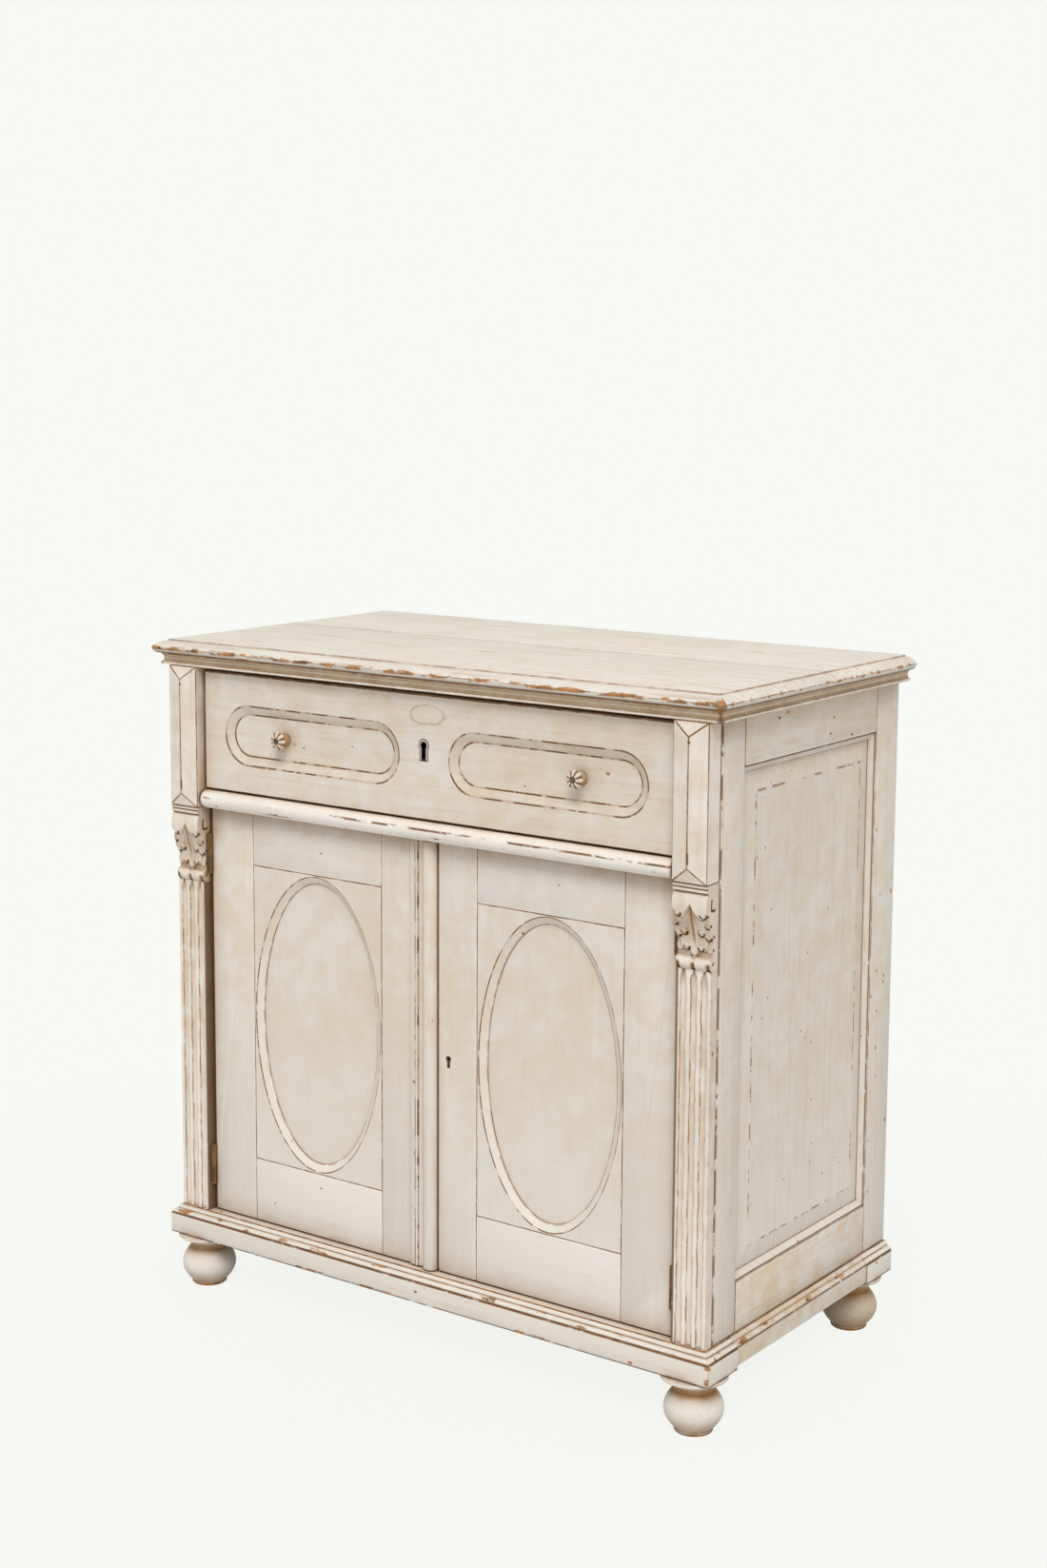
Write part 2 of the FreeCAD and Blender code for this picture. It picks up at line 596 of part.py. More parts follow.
def build_side_frames():
    """Posts, side rails and raised panels; the panel sits in grooves all round."""
    top_z = ("side_high", "top_underside")
    low_z = ("plinth_top", "side_low")
    groove_x = ("panel_back - fit_gap", "panel_groove_face + fit_gap")
    groove_z = ("side_low - panel_lip", "side_high + panel_lip")
    tenon_x = grown(("panel_back", "panel_bevel_foot"), "fit_gap")
    height = ("plinth_top", "top_underside")

    def sockets(name, tenon_y, lip_y):
        """Mortises of one post for the two side rails, and its panel groove."""
        cuts = [slab(f"{name}_groove", groove_x, lip_y, groove_z)]
        for level, z in (("top", top_z), ("low", low_z)):
            socket_z = grown((f"{z[0]} + tenon_shoulder", f"{z[1]} - tenon_shoulder"), "fit_gap")
            cuts.append(slab(f"{name}_{level}_mortise", tenon_x, tenon_y, socket_z))
        return cuts

    stock = slab("front_post_stock", ("opening_half", "half_width"), ("front", "side_front"), height)
    rail_socket = slab(
        "front_post_rail_mortise",
        ("opening_half", "opening_half + tenon_length + fit_gap"),
        grown(DRAWER_TENON_Y, "fit_gap"), grown(DRAWER_TENON_Z, "fit_gap"))
    recesses = [
        slab(f"front_post_hinge_recess_{name}", ("opening_half", "opening_half + leaf_thickness + fit_gap"),
             ("front", "door_face + leaf_reach + fit_gap"), grown((low, f"{low} + leaf_length"), "fit_gap"))
        for name, low in HINGES.items()
    ]
    cuts = sockets("front_post", ("side_front - tenon_length - fit_gap", "side_front"),
                   ("side_front - panel_lip", "side_front"))
    pair("front_post", without("front_post_right", stock, rail_socket, *recesses, *cuts))

    back_x = ("half_width - back_post_width", "half_width")
    stock = slab("back_post_stock", back_x, ("side_back", "back"), height)
    cuts = sockets("back_post", ("side_back", "side_back + tenon_length + fit_gap"),
                   ("side_back", "side_back + panel_lip"))
    pair("back_post", without("back_post_right", stock, *cuts))

    for stem, z, lip in (("side_top_rail", top_z, ("side_high", "side_high + panel_lip")),
                         ("side_bottom_rail", low_z, ("side_low - panel_lip", "side_low"))):
        groove = slab(stem + "_groove", groove_x, ("side_front", "side_back"), lip)
        pair(stem, without(stem + "_right", side_rail(stem, z), groove))

    lip = "(panel_lip - fit_gap)"
    span_y, span_z = grown(("side_front", "side_back"), lip), grown(("side_low", "side_high"), lip)
    sheet_of_panel = slab("side_panel_edge", ("panel_back", "panel_bevel_foot"), span_y, span_z)
    border = f"(panel_border + {lip})"
    length, tall = f"{span_y[1]} - ({span_y[0]})", f"{span_z[1]} - ({span_z[0]})"
    field = frustum("side_panel_field", ("0", length, "0", tall),
                    (border, f"{length} - {border}", border, f"{tall} - {border}"), "panel_rise",
                    "panel_bevel_foot", span_y[1], span_z[0], angle=-90.0)
    pair("side_panel", fused("side_panel_right", sheet_of_panel, field))
    build_panel_mouldings()


def build_panel_mouldings():
    """Four mitred strips round each side panel, in the corner of frame and panel."""
    depth = "(half_width - bead_edge - bead_seat)"
    upright, level = "(side_high - side_low)", "(side_back - side_front)"
    strips = []
    for name, run, y, z, turn in (
        ("front", upright, "side_front", "side_low", 0.0),
        ("back", upright, "side_back", "side_high", 180.0),
        ("bottom", level, "side_back", "side_low", 90.0),
        ("top", level, "side_front", "side_high", -90.0),
    ):
        strips.append(frustum(
            f"panel_moulding_{name}", ("0", depth, "0", run),
            ("0", "bead_edge", "bead_width", f"{run} - bead_width"), "bead_width",
            "bead_seat", y, z, axis=(1, 0, 0), angle=turn))
    twins = [mirrored(f"{strip.Name}_left", strip) for strip in strips]
    node("panel_mouldings", group("panel_mouldings", *strips, *twins))


def build_front_rails():
    """Rail over the drawer, rail under it, and the half-round nosing on that rail."""
    z = ("cornice_bottom", "top_underside")
    node("front_top_rail", fused(
        "front_top_rail",
        slab("front_top_rail_face", ("-half_width", "half_width"), ("cornice_seat", "front"), z),
        slab("front_top_rail_bar", ("-opening_half", "opening_half"),
             ("front", "front + top_rail_depth"), z)))

    reach = "(opening_half + tenon_length)"
    node("drawer_rail", fused(
        "drawer_rail",
        slab("drawer_rail_bar", ("-opening_half", "opening_half"), ("front", "front + drawer_rail_depth"),
             ("drawer_rail_bottom", "drawer_rail_top")),
        slab("drawer_rail_tenons", (f"-{reach}", reach), DRAWER_TENON_Y, DRAWER_TENON_Z)))

    half = "(block_inner - front_gap)"
    node("drawer_rail_nosing", fused(
        "drawer_rail_nosing",
        slab("nosing_flat", (f"-{half}", half), ("front - nosing_proud", "front"),
             ("drawer_rail_bottom", "drawer_rail_top")),
        rod("nosing_round", "x", "drawer_rail_height / 2", f"-{half}", "front - nosing_proud",
            "drawer_rail_bottom + drawer_rail_height / 2", f"2 * {half}")))


def notched_board(name, half, y, z):
    """Board that reaches the sides, notched round the four posts."""
    board = slab(name + "_stock", (f"-({half})", half), y, z)
    notches = []
    for sign, side in (("", "right"), ("-", "left")):
        for row, inner, span in (("front", "opening_half", (y[0], "side_front + fit_gap")),
                                 ("back", "half_width - back_post_width", ("side_back - fit_gap", y[1]))):
            edges = [f"{sign}({inner} - fit_gap)", f"{sign}({half})"]
            notches.append(slab(f"{name}_{row}_{side}_notch", edges if not sign else edges[::-1], span, z))
    return without(name, board, *notches)


def build_inside():
    """Floor, shelf on battens, drawer runners with guides, and the back boards."""
    floor_z = ("plinth_top", "plinth_top + floor_thickness")
    back_edge = "boards_front - fit_gap"
    floor_half = "half_width - side_rail_thickness - fit_gap"
    node("cupboard_floor", notched_board(
        "cupboard_floor", floor_half, ("door_back + front_gap", back_edge), floor_z))
    shelf_low = "plinth_top + shelf_height"
    node("shelf", notched_board(
        "shelf", "panel_back - running_gap", ("front + shelf_setback", back_edge),
        (shelf_low, f"{shelf_low} + shelf_thickness")))

    batten = slab("shelf_batten", ("panel_back - batten_width", "panel_back"), ("side_front", "side_back"),
                  (f"{shelf_low} - batten_height", shelf_low))
    node("shelf_battens", group("shelf_battens", batten, mirrored("shelf_batten_left", batten)))

    outer = "panel_back"
    runner_top = "drawer_bottom_edge - running_gap"
    runner_y = ("front + drawer_rail_depth", "side_back")
    runner = fused(
        "drawer_runner",
        slab("runner_bar", (f"{outer} - runner_width", outer), runner_y,
             (f"{runner_top} - runner_height", runner_top)),
        slab("runner_guide", ("opening_half - front_gap / 2", outer), runner_y,
             (runner_top, f"{runner_top} + guide_height")))
    node("drawer_runners", group("drawer_runners", runner, mirrored("drawer_runner_left", runner)))

    width = f"((carcass_width - 2 * back_post_width) / {BACK_BOARDS})"
    boards = []
    for index in range(BACK_BOARDS):
        left = f"back_post_width - half_width + {index} * {width}"
        boards.append(slab(f"back_board_{index + 1}", (f"{left} + fit_gap", f"{left} + {width} - fit_gap"),
                           ("boards_front", "back - back_inset"), ("plinth_top", "top_underside")))
    node("back_boards", group("back_boards", *boards))


def leaf_section(sink):
    """Side view of the capital: necking, swelling leaf, waist and base roll, sunk by a depth."""
    leaf_top = "drawer_rail_bottom - necking_height"
    leaf_low = f"{leaf_top} - leaf_height"
    return [
        ("front", "capital_bottom"),
        ("front", "drawer_rail_bottom"),
        ("front - necking_proud", "drawer_rail_bottom"),
        ("front - necking_proud", leaf_top),
        (f"front - leaf_top_proud + {sink}", leaf_top, "-leaf_radius"),
        (f"front - leaf_low_proud + {sink}", leaf_low, "leaf_sweep_radius"),
        (f"front - leaf_waist_proud + {sink}", f"{leaf_low} - leaf_sweep"),
        (f"front - leaf_waist_proud + {sink}", "capital_bottom + capital_roll", "-capital_roll_radius"),
        (f"front - shaft_proud + {sink}", "capital_bottom"),
    ]


def carved_capital():
    """Right-hand capital: two halves of a leaf beside a sunk stem, with eyelets and a notched roll."""
    middle = "(half_width - shaft_width / 2)"
    edges = ("shaft_inner", f"{middle} - vein_width / 2", f"{middle} + vein_width / 2", "half_width")
    sinks = {"inner_half": "0", "stem": "vein_sink", "outer_half": "0"}
    strips = [
        extruded(f"capital_{name}", "x", leaf_section(sink), low, high)
        for (name, sink), low, high in zip(sinks.items(), edges, edges[1:])
    ]
    leaf_top = "drawer_rail_bottom - necking_height"
    cuts = []
    for side, sign in (("inner", "-"), ("outer", "+")):
        for level in ("upper", "middle", "lower"):
            cuts.append(rod(
                f"{level}_{side}_eyelet", "y", "eyelet_radius", f"{middle} {sign} {level}_eyelet_across",
                "front - block_proud - block_roof", f"{leaf_top} - {level}_eyelet_drop",
                f"block_proud + block_roof - {level}_eyelet_floor"))
        cuts.append(rod(
            f"{side}_scallop", "z", "scallop_radius", f"{middle} {sign} scallop_across",
            "front - shaft_proud - scallop_radius", "capital_bottom", "capital_roll"))
    return without("capital_right", fused("capital_leaf", *strips), *cuts)


def build_pilasters():
    """Diamond-cut block over a leaf capital over a fluted shaft, on each front post."""
    z = ("drawer_rail_bottom", "cornice_bottom")
    tall = f"({z[1]} - {z[0]})"
    ridge = ("block_width / 2 - block_ridge / 2", "block_width / 2 + block_ridge / 2",
             "block_hip", f"{tall} - block_hip")
    body = slab("block_body", ("block_inner", "half_width"), ("front - block_proud", "front"), z)
    roof = frustum("block_diamond", ("0", "block_width", "0", tall), ridge, "block_roof",
                   "half_width", "front - block_proud", z[0], angle=180.0)
    pair("pilaster_block", fused("pilaster_block_right", body, roof))

    pair("capital", carved_capital())

    stock = slab("shaft_stock", ("shaft_inner", "half_width"), ("front - shaft_proud", "front"),
                 ("plinth_top", "capital_bottom"))
    flutes = []
    for index in range(FLUTES):
        x = f"half_width - shaft_width / 2 + ({index} - {FLUTES - 1} / 2) * flute_pitch"
        y = "front - shaft_proud - flute_radius + flute_depth"
        low = "plinth_top + flute_stop + flute_radius"
        end = doc.addObject("Part::Sphere", f"flute_end_{index + 1}")
        bind(end, "Radius", "flute_radius")
        place(end, x, y, low)
        run = f"capital_bottom - ({low})"
        flutes += [rod(f"flute_{index + 1}", "z", "flute_radius", x, y, low, run), end]
    pair("pilaster_shaft", without("pilaster_shaft_right", stock, *flutes))


def build_plinth():
    """Front, back and side rails with a double bead, bored for the feet's spigots."""
    side = "plinth_side"
    ends = [("-plinth_side", "foot_height"), ("-plinth_side", "plinth_face_top")]
    ends += plinth_beads_rising("-plinth_side") + plinth_beads_falling(side)
    ends += [(side, "plinth_face_top"), (side, "foot_height")]
    deep = "plinth_front + plinth_rail_depth"
    section = [("plinth_front", "foot_height"), ("plinth_front", "plinth_face_top")]
    section += plinth_beads_rising("plinth_front") + [(deep, "plinth_top"), (deep, "foot_height")]
    along = extruded("plinth_front_length", "x", section, f"-{side}", side)
    across = extruded("plinth_front_ends", "y", ends, "plinth_front", deep)
    stocks = {
        "front": common("plinth_front_stock", along, across),
        "back": extruded("plinth_back_stock", "y", ends, "back - plinth_rail_depth", "back"),
    }
    for row, stock in stocks.items():
        bores = [
            rod(f"plinth_{row}_bore_{name}", "z", "foot_spigot_radius + fit_gap", x, FOOT_Y[row],
                "foot_height", "foot_spigot_height + fit_gap")
            for name, x in FOOT_X.items()
        ]
        node(f"plinth_{row}_rail", without(f"plinth_{row}_rail", stock, *bores))

    inner, face = f"{side} - plinth_side_width", f"{side} - plinth_step"
    section = [(inner, "plinth_top"), *plinth_beads_falling(side),
               (face, "foot_height + plinth_side_lift"), (inner, "foot_height + plinth_side_lift")]
    pair("plinth_side_rail", extruded("plinth_side_rail_right", "y", section,
                                      f"{deep} + fit_gap", "back - plinth_rail_depth - fit_gap"))


def build_feet():
    """Four turned bun feet, each with a base, a ball, a neck, a flared collar and a spigot."""
    ball_top = "foot_pad_height + foot_ball_height"
    collar = "foot_height - foot_collar_edge"
    profile = [
        ("0", "0"),
        ("foot_pad_radius", "0"),
        ("foot_pad_radius", "foot_pad_height", "-foot_ball_radius"),
        ("foot_neck_radius", ball_top),
        ("foot_neck_radius", f"{ball_top} + foot_neck_height", "foot_flare_radius"),
        ("foot_collar_radius", collar),
        ("foot_collar_radius", "foot_height"),
        ("foot_spigot_radius", "foot_height"),
        ("foot_spigot_radius", "foot_height + foot_spigot_height"),
        ("0", "foot_height + foot_spigot_height"),
    ]
    feet = []
    for row, y in FOOT_Y.items():
        for side, x in FOOT_X.items():
            foot = turned(f"bun_foot_{row}_{side}", "XZ_Plane", profile)
            place(foot, x, y, "0")
            feet.append(foot)
    node("bun_feet", group("bun_feet", *feet))


def keyhole(name, x, z, radius, slot_width, slot_length, y):
    """Round over a slot, as deep as the span y."""
    depth = f"({y[1]}) - ({y[0]})"
    return fused(
        name,
        rod(name + "_round", "y", radius, x, y[0], z, depth),
        slab(name + "_slot", (f"{x} - ({slot_width}) / 2", f"{x} + ({slot_width}) / 2"), y,
             (f"{z} - ({slot_length})", z)))


def round_ended_sink(name, middle):
    """Sloping-sided hollow with round ends in the drawer's face."""
    half, level = "sink_height / 2", "drawer_rail_top + sink_level"
    straight = "(sink_length - sink_height)"
    floor_half = f"({half} - sink_bevel)"
    trough = frustum(name + "_trough", ("0", straight, f"-{half}", half),
                     ("0", straight, f"-{floor_half}", floor_half), "sink_depth",
                     f"{middle} - {straight} / 2", "drawer_face", level)
    pieces = [trough]
    for end, sign in (("left", "-"), ("right", "+")):
        cone = doc.addObject("Part::Cone", f"{name}_{end}_end")
        bind(cone, "Radius1", half)
        bind(cone, "Radius2", floor_half)
        bind(cone, "Height", "sink_depth")
        place(cone, f"{middle} {sign} {straight} / 2", "drawer_face", level, (1, 0, 0), -90.0)
        pieces.append(cone)
    return fused(name, *pieces)


def dovetails(name, gap):
    """Tails of the right-hand drawer side, wider at the tip, opened by a gap."""
    inner = "drawer_half - drawer_side_thickness"
    tails = []
    for index in range(DOVETAILS):
        middle = f"drawer_bottom_edge + drawer_side_height * {2 * index + 1} / {2 * DOVETAILS}"
        root, tip = f"(tail_width / 2 - tail_taper + {gap})", f"(tail_width / 2 + {gap})"
        tails.append(extruded(f"{name}_{index + 1}", "x", [
            ("drawer_inside", f"{middle} + {root}"),
            (f"drawer_inside - tail_length - {gap}", f"{middle} + {tip}"),
            (f"drawer_inside - tail_length - {gap}", f"{middle} - {tip}"),
            ("drawer_inside", f"{middle} - {root}"),
        ], f"{inner} - {gap}", "drawer_half"))
    return tails


def build_drawer():
    """Front with two sunk panels, sides, back, bottom, knobs, inlaid keyhole rim and lock."""
    key_z = "drawer_rail_top + key_level"
    y = ("drawer_face", "drawer_inside")
    rim_y = ("drawer_face", "drawer_face + key_rim_depth")
    front_top = "cornice_bottom - drawer_top_gap"
    rim_size = ("key_radius + key_rim", "key_slot_width + 2 * key_rim", "key_slot_length + key_rim")
    key_size = ("key_radius", "key_slot_width", "key_slot_length")
    stock = slab("drawer_front_stock", ("-drawer_half", "drawer_half"), y, ("drawer_bottom_edge", front_top))
    inner = "(drawer_half - drawer_side_thickness)"
    base = "drawer_bottom_edge + drawer_bottom_lift"
    base_top = f"{base} + drawer_bottom_thickness"
    bottom_half = f"({inner} + drawer_groove)"
    sockets = dovetails("dovetail_socket", "fit_gap")
    twins = [mirrored(f"{socket.Name}_left", socket) for socket in sockets]
    groove = slab("drawer_front_groove", (f"-{bottom_half}", bottom_half),
                  ("drawer_inside - drawer_groove", "drawer_inside"), grown((base, base_top), "fit_gap"))
    node("drawer_front", without(
        "drawer_front", stock, groove, *sockets, *twins,
        round_ended_sink("left_sink", "-sink_middle"),
        round_ended_sink("right_sink", "sink_middle"),
        keyhole("rim_recess", "0", key_z, *rim_size, rim_y),
        keyhole("drawer_keyhole", "0", key_z, *key_size, y)))
    node("drawer_escutcheon", without(
        "drawer_escutcheon",
        keyhole("rim_outside", "0", key_z, *(f"{size} - fit_gap" for size in rim_size), rim_y),
        keyhole("rim_inside", "0", key_z, *key_size, rim_y)))

    lock_z = (f"{front_top} - lock_drop - lock_height", f"{front_top} - lock_drop")
    node("drawer_lock", without(
        "drawer_lock",
        slab("drawer_lock_case", ("-lock_width / 2", "lock_width / 2"),
             ("drawer_inside", "drawer_inside + lock_depth"), lock_z),
        keyhole("drawer_keyway", "0", key_z, *key_size, ("drawer_inside", "drawer_inside + lock_key_depth"))))

    box_top = "drawer_bottom_edge + drawer_side_height"
    box_y = ("drawer_inside", "drawer_back_end")
    side = fused(
        "drawer_side_stock",
        slab("drawer_side_board", (inner, "drawer_half"), box_y, ("drawer_bottom_edge", box_top)),
        *dovetails("dovetail", "0"))
    groove = slab("drawer_side_groove", (inner, bottom_half),
                  ("drawer_inside - tail_length", "drawer_back_end"), grown((base, base_top), "fit_gap"))
    pair("drawer_side", without("drawer_side_right", side, groove))
    node("drawer_bottom", slab(
        "drawer_bottom", (f"-({bottom_half} - fit_gap)", f"{bottom_half} - fit_gap"),
        ("drawer_inside - drawer_groove + fit_gap", "drawer_back_end"), (base, base_top)))
    node("drawer_back", slab(
        "drawer_back", (f"-({inner} - fit_gap)", f"{inner} - fit_gap"),
        ("drawer_back_end - drawer_side_thickness", "drawer_back_end"), (base_top, box_top)))

    neck = "(knob_rose_height + knob_stem_length)"
    head = f"({neck} + knob_edge + knob_crown)"
    profile = [
        ("0", "0"),
        ("knob_rose_radius", "0"),
        ("knob_rose_radius", "-knob_rose_height"),
        ("knob_stem_radius", "-knob_rose_height"),
        ("knob_stem_radius", f"-{neck}"),
        ("knob_radius", f"-({neck} + knob_edge / 2)"),
        ("knob_radius", f"-({neck} + knob_edge)"),
        ("knob_face_radius", f"-{head}"),
        ("0", f"-{head}"),
    ]
    seat, level = "(drawer_face + sink_depth)", "(drawer_rail_top + sink_level)"
    circle = "(knob_radius - knob_flute_depth + knob_flute_radius)"
    knobs = []
    for name, x in (("left", "-knob_middle"), ("right", "knob_middle")):
        knob = turned(f"drawer_knob_{name}_blank", "XY_Plane", profile)
        place(knob, x, seat, level)
        hollows = []
        for index in range(KNOB_FLUTES):
            turn = f"({index} * 360 deg / {KNOB_FLUTES})"
            hollows.append(rod(
                f"drawer_knob_{name}_hollow_{index}", "y", "knob_flute_radius",
                f"{x} + {circle} * cos({turn})", f"{seat} - {head}", f"{level} + {circle} * sin({turn})",
                "knob_edge + knob_crown"))
        knobs.append(without(f"drawer_knob_{name}", knob, *hollows))
    node("drawer_knobs", group("drawer_knobs", *knobs))


def hinge_knuckle(name, z):
    """One half of a hinge's barrel, standing at z on the hinge line."""
    return rod(name, "z", "knuckle_radius", "hinge_x", "hinge_y", z, "leaf_length")


def build_hinges():
    """Lift-off hinges: a leaf with a pin on the post, a leaf with a socket on the door."""
    leaf_y = ("hinge_y", "door_face + leaf_reach")
    jambs, leaves = [], []
    for name, low in HINGES.items():
        door_low = f"{low} + leaf_length + running_gap"
        jambs.append(fused(
            f"jamb_hinge_{name}",
            slab(f"jamb_leaf_{name}", ("opening_half", "opening_half + leaf_thickness"), leaf_y,
                 (low, f"{low} + leaf_length")),
            hinge_knuckle(f"jamb_knuckle_{name}", low),
            rod(f"jamb_pin_{name}", "z", "pin_radius", "hinge_x", "hinge_y", low,
                "leaf_length + running_gap + pin_length")))
        leaf = fused(
            f"door_hinge_{name}",
            slab(f"door_leaf_{name}", ("drawer_half - leaf_thickness", "drawer_half"), leaf_y,
                 (door_low, f"{door_low} + leaf_length")),
            hinge_knuckle(f"door_knuckle_{name}", door_low))
        leaves.append(without(
            f"door_hinge_leaf_{name}", leaf,
            rod(f"door_socket_{name}", "z", "pin_radius + pin_clearance", "hinge_x", "hinge_y", door_low,
                "leaf_length")))
    jamb_twins = [mirrored(f"{jamb.Name}_left", jamb) for jamb in jambs]
    leaf_twins = [mirrored(f"{leaf.Name}_left", leaf) for leaf in leaves]
    node("jamb_hinges", group("jamb_hinges", *jambs, *jamb_twins))
    node("right_door_hinges", group("right_door_hinges", *leaves))
    node("left_door_hinges", group("left_door_hinges", *leaf_twins))


def spread(side, inner, outer):
    """Low and high x of a span given from the cupboard's middle outwards."""
    return (inner, outer) if side == "right" else (f"-({outer})", f"-({inner})")


def build_door(side):
    """Frame of two stiles and two rails round an oval frame backed by a panel."""
    meeting = {"right": "door_meeting + meeting_gap / 2", "left": "-(door_meeting - meeting_gap / 2)"}[side]
    hole = ("oval_middle - oval_width / 2", "oval_middle + oval_width / 2")
    frame_y = ("door_face", "door_back")
    groove_y = grown(("door_panel_face", "door_panel_back"), "fit_gap")
    groove_z = ("panel_low - panel_lip", "panel_high + panel_lip")
    rails = {"top": ("panel_high", "door_high"), "bottom": ("door_low", "panel_low")}
    lips = {"top": ("panel_high", "panel_high + panel_lip"), "bottom": ("panel_low - panel_lip", "panel_low")}
    stem = f"{side}_door"

    def tenon_z(z):
        return (f"{z[0]} + tenon_shoulder", f"{z[1]} - tenon_shoulder")

    stiles = {
        "closing": (spread(side, meeting, hole[0]),
                    spread(side, f"{hole[0]} - door_tenon_length - fit_gap", hole[0]),
                    spread(side, f"{hole[0]} - panel_lip", hole[0])),
        "hinge": (spread(side, hole[1], "drawer_half"),
                  spread(side, hole[1], f"{hole[1]} + door_tenon_length + fit_gap"),
                  spread(side, hole[1], f"{hole[1]} + panel_lip")),
    }
    for name, (x, socket_x, lip_x) in stiles.items():
        label = f"{stem}_{name}_stile"
        cuts = [slab(f"{label}_groove", lip_x, groove_y, groove_z)]
        for level, z in rails.items():
            cuts.append(slab(f"{label}_{level}_mortise", socket_x, groove_y, grown(tenon_z(z), "fit_gap")))
        if name == "hinge":
            for level, low in HINGES.items():
                leaf_low = f"{low} + leaf_length + running_gap"
                cuts.append(slab(
                    f"{label}_{level}_recess",
                    spread(side, "drawer_half - leaf_thickness - fit_gap", "drawer_half"),
                    ("door_face", "door_face + leaf_reach + fit_gap"),
                    grown((leaf_low, f"{leaf_low} + leaf_length"), "fit_gap")))
        elif side == "right":
            cuts.append(keyhole("door_keyhole", DOOR_KEY_X, DOOR_KEY_Z, *DOOR_KEY_SIZE, frame_y))
        node(label, without(label, slab(f"{label}_stock", x, frame_y, ("door_low", "door_high")), *cuts))

    for level, z in rails.items():
        label = f"{stem}_{level}_rail"
        tenons = (f"{hole[0]} - door_tenon_length", f"{hole[1]} + door_tenon_length")
        bar = fused(
            f"{label}_stock",
            slab(f"{label}_bar", spread(side, *hole), frame_y, z),
            slab(f"{label}_tenons", spread(side, *tenons),
                 ("door_panel_face", "door_panel_back"), tenon_z(z)))
        groove = slab(f"{label}_groove", spread(side, *hole), groove_y, lips[level])
        node(label, without(label, bar, groove))

    lip = "(panel_lip - fit_gap)"
    node(f"{stem}_panel", slab(
        f"{stem}_panel", spread(side, *grown(hole, lip)), ("door_panel_face", "door_panel_back"),
        grown(("panel_low", "panel_high"), lip)))
    build_oval_frame(stem, side, hole)


def build_oval_frame(stem, side, hole):
    """Board that fills the door frame flush, with a sloping-edged oval cut through it."""
    middle = "oval_middle" if side == "right" else "-oval_middle"
    level = "(panel_low + panel_high) / 2"
    rings = []
    for name, inset, y in (("rim", "oval_margin", "door_face"),
                           ("foot", "oval_margin + oval_bevel", "door_face + oval_depth"),
                           ("back", "oval_margin + oval_bevel", "door_panel_face")):
        ring = doc.addObject("Part::Ellipse", f"{stem}_oval_{name}")
        bind(ring, "MajorRadius", f"(panel_high - panel_low) / 2 - ({inset})")
        bind(ring, "MinorRadius", f"oval_width / 2 - ({inset})")
        place(ring, middle, y, level, (1, 1, 1), 240.0)
        rings.append(ring)
    cuts = []
    for name, sections in (("slope", rings[:2]), ("through", rings[1:])):
        loft = doc.addObject("Part::Loft", f"{stem}_oval_{name}")
        loft.Sections = sections
        loft.Solid = True
        loft.Ruled = True
        cuts.append(loft)
    board = slab(f"{stem}_oval_board", spread(side, f"{hole[0]} + fit_gap", f"{hole[1]} - fit_gap"),
                 ("door_face", "door_panel_face"), ("panel_low + fit_gap", "panel_high - fit_gap"))
    node(f"{stem}_oval_frame", without(f"{stem}_oval_frame", board, *cuts))


def build_door_fittings():
    """Closing strip on the left door's edge and the lock inside the right door."""
    edge = "door_meeting - meeting_gap / 2"
    start = f"{edge} - strip_width"
    bead, quirk = f"{start} + strip_flat", f"{start} + strip_flat + strip_bead"
    crest = f"{quirk} + strip_quirk"
    node("closing_strip", extruded("closing_strip", "z", [
        (start, "door_face"),
        (start, "door_face - strip_fillet"),
        (bead, "door_face - strip_fillet", "-strip_bead_radius"),
        (quirk, "door_face - strip_fillet"),
        (quirk, "door_face - strip_fillet + strip_sink"),
        (crest, "door_face - strip_fillet + strip_sink"),
        (crest, "door_face - strip_fillet", "-strip_round_radius"),
        (edge, "door_face - strip_sink"),
        (edge, "door_face"),
    ], "door_low", "door_high"))

    middle = f"({DOOR_KEY_X} + door_lock_shift)"
    x = (f"{middle} - door_lock_width / 2", f"{middle} + door_lock_width / 2")
    z = (f"{DOOR_KEY_Z} - door_lock_height / 2", f"{DOOR_KEY_Z} + door_lock_height / 2")
    node("right_door_lock", without(
        "right_door_lock",
        slab("door_lock_case", x, ("door_back", "door_back + lock_depth"), z),
        keyhole("door_keyway", DOOR_KEY_X, DOOR_KEY_Z, *DOOR_KEY_SIZE,
                ("door_back", "door_back + lock_key_depth"))))


def write_parts():
    """Recompute, refuse any failed object or bad solid, then write one file per sub-part."""
    doc.recompute()
    failed = [thing.Name for thing in doc.Objects if {"Invalid", "Error"} & set(thing.State)]
    if failed:
        raise RuntimeError(f"failed objects: {failed}")
    for label, thing in nodes.items():
        shape = thing.Shape
        if shape.isNull() or not shape.isValid() or not shape.Solids:
            raise RuntimeError(f"bad solid: {label}")
    os.makedirs("parts", exist_ok=True)
    for label, thing in nodes.items():
        thing.Shape.exportStep(f"parts/{label}.step")
    print(len(nodes), "sub-parts,", sum(len(thing.Shape.Solids) for thing in nodes.values()), "solids")


fill_sheet()
build_top()
build_cornice()
build_side_frames()
build_front_rails()
build_inside()
build_pilasters()
build_plinth()
build_feet()
build_hinges()
build_drawer()
build_door("left")
build_door("right")
build_door_fittings()
write_parts()
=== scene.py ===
"""Looks of the low painted cupboard: worn cream paint, bare pine inside, carved capitals, turned feet.

Metres, +Z up, the front faces -Y. Most solids become pieces with eased edges, so that their joints show
as fine lines; the capitals, shafts, oval boards, knobs, nosing and feet are modelled anew.
"""

import json
import logging
import math
from collections.abc import Callable, Sequence
from dataclasses import dataclass, replace
from enum import Enum
from functools import lru_cache

import bmesh
import bpy
from mathutils import Matrix, Vector

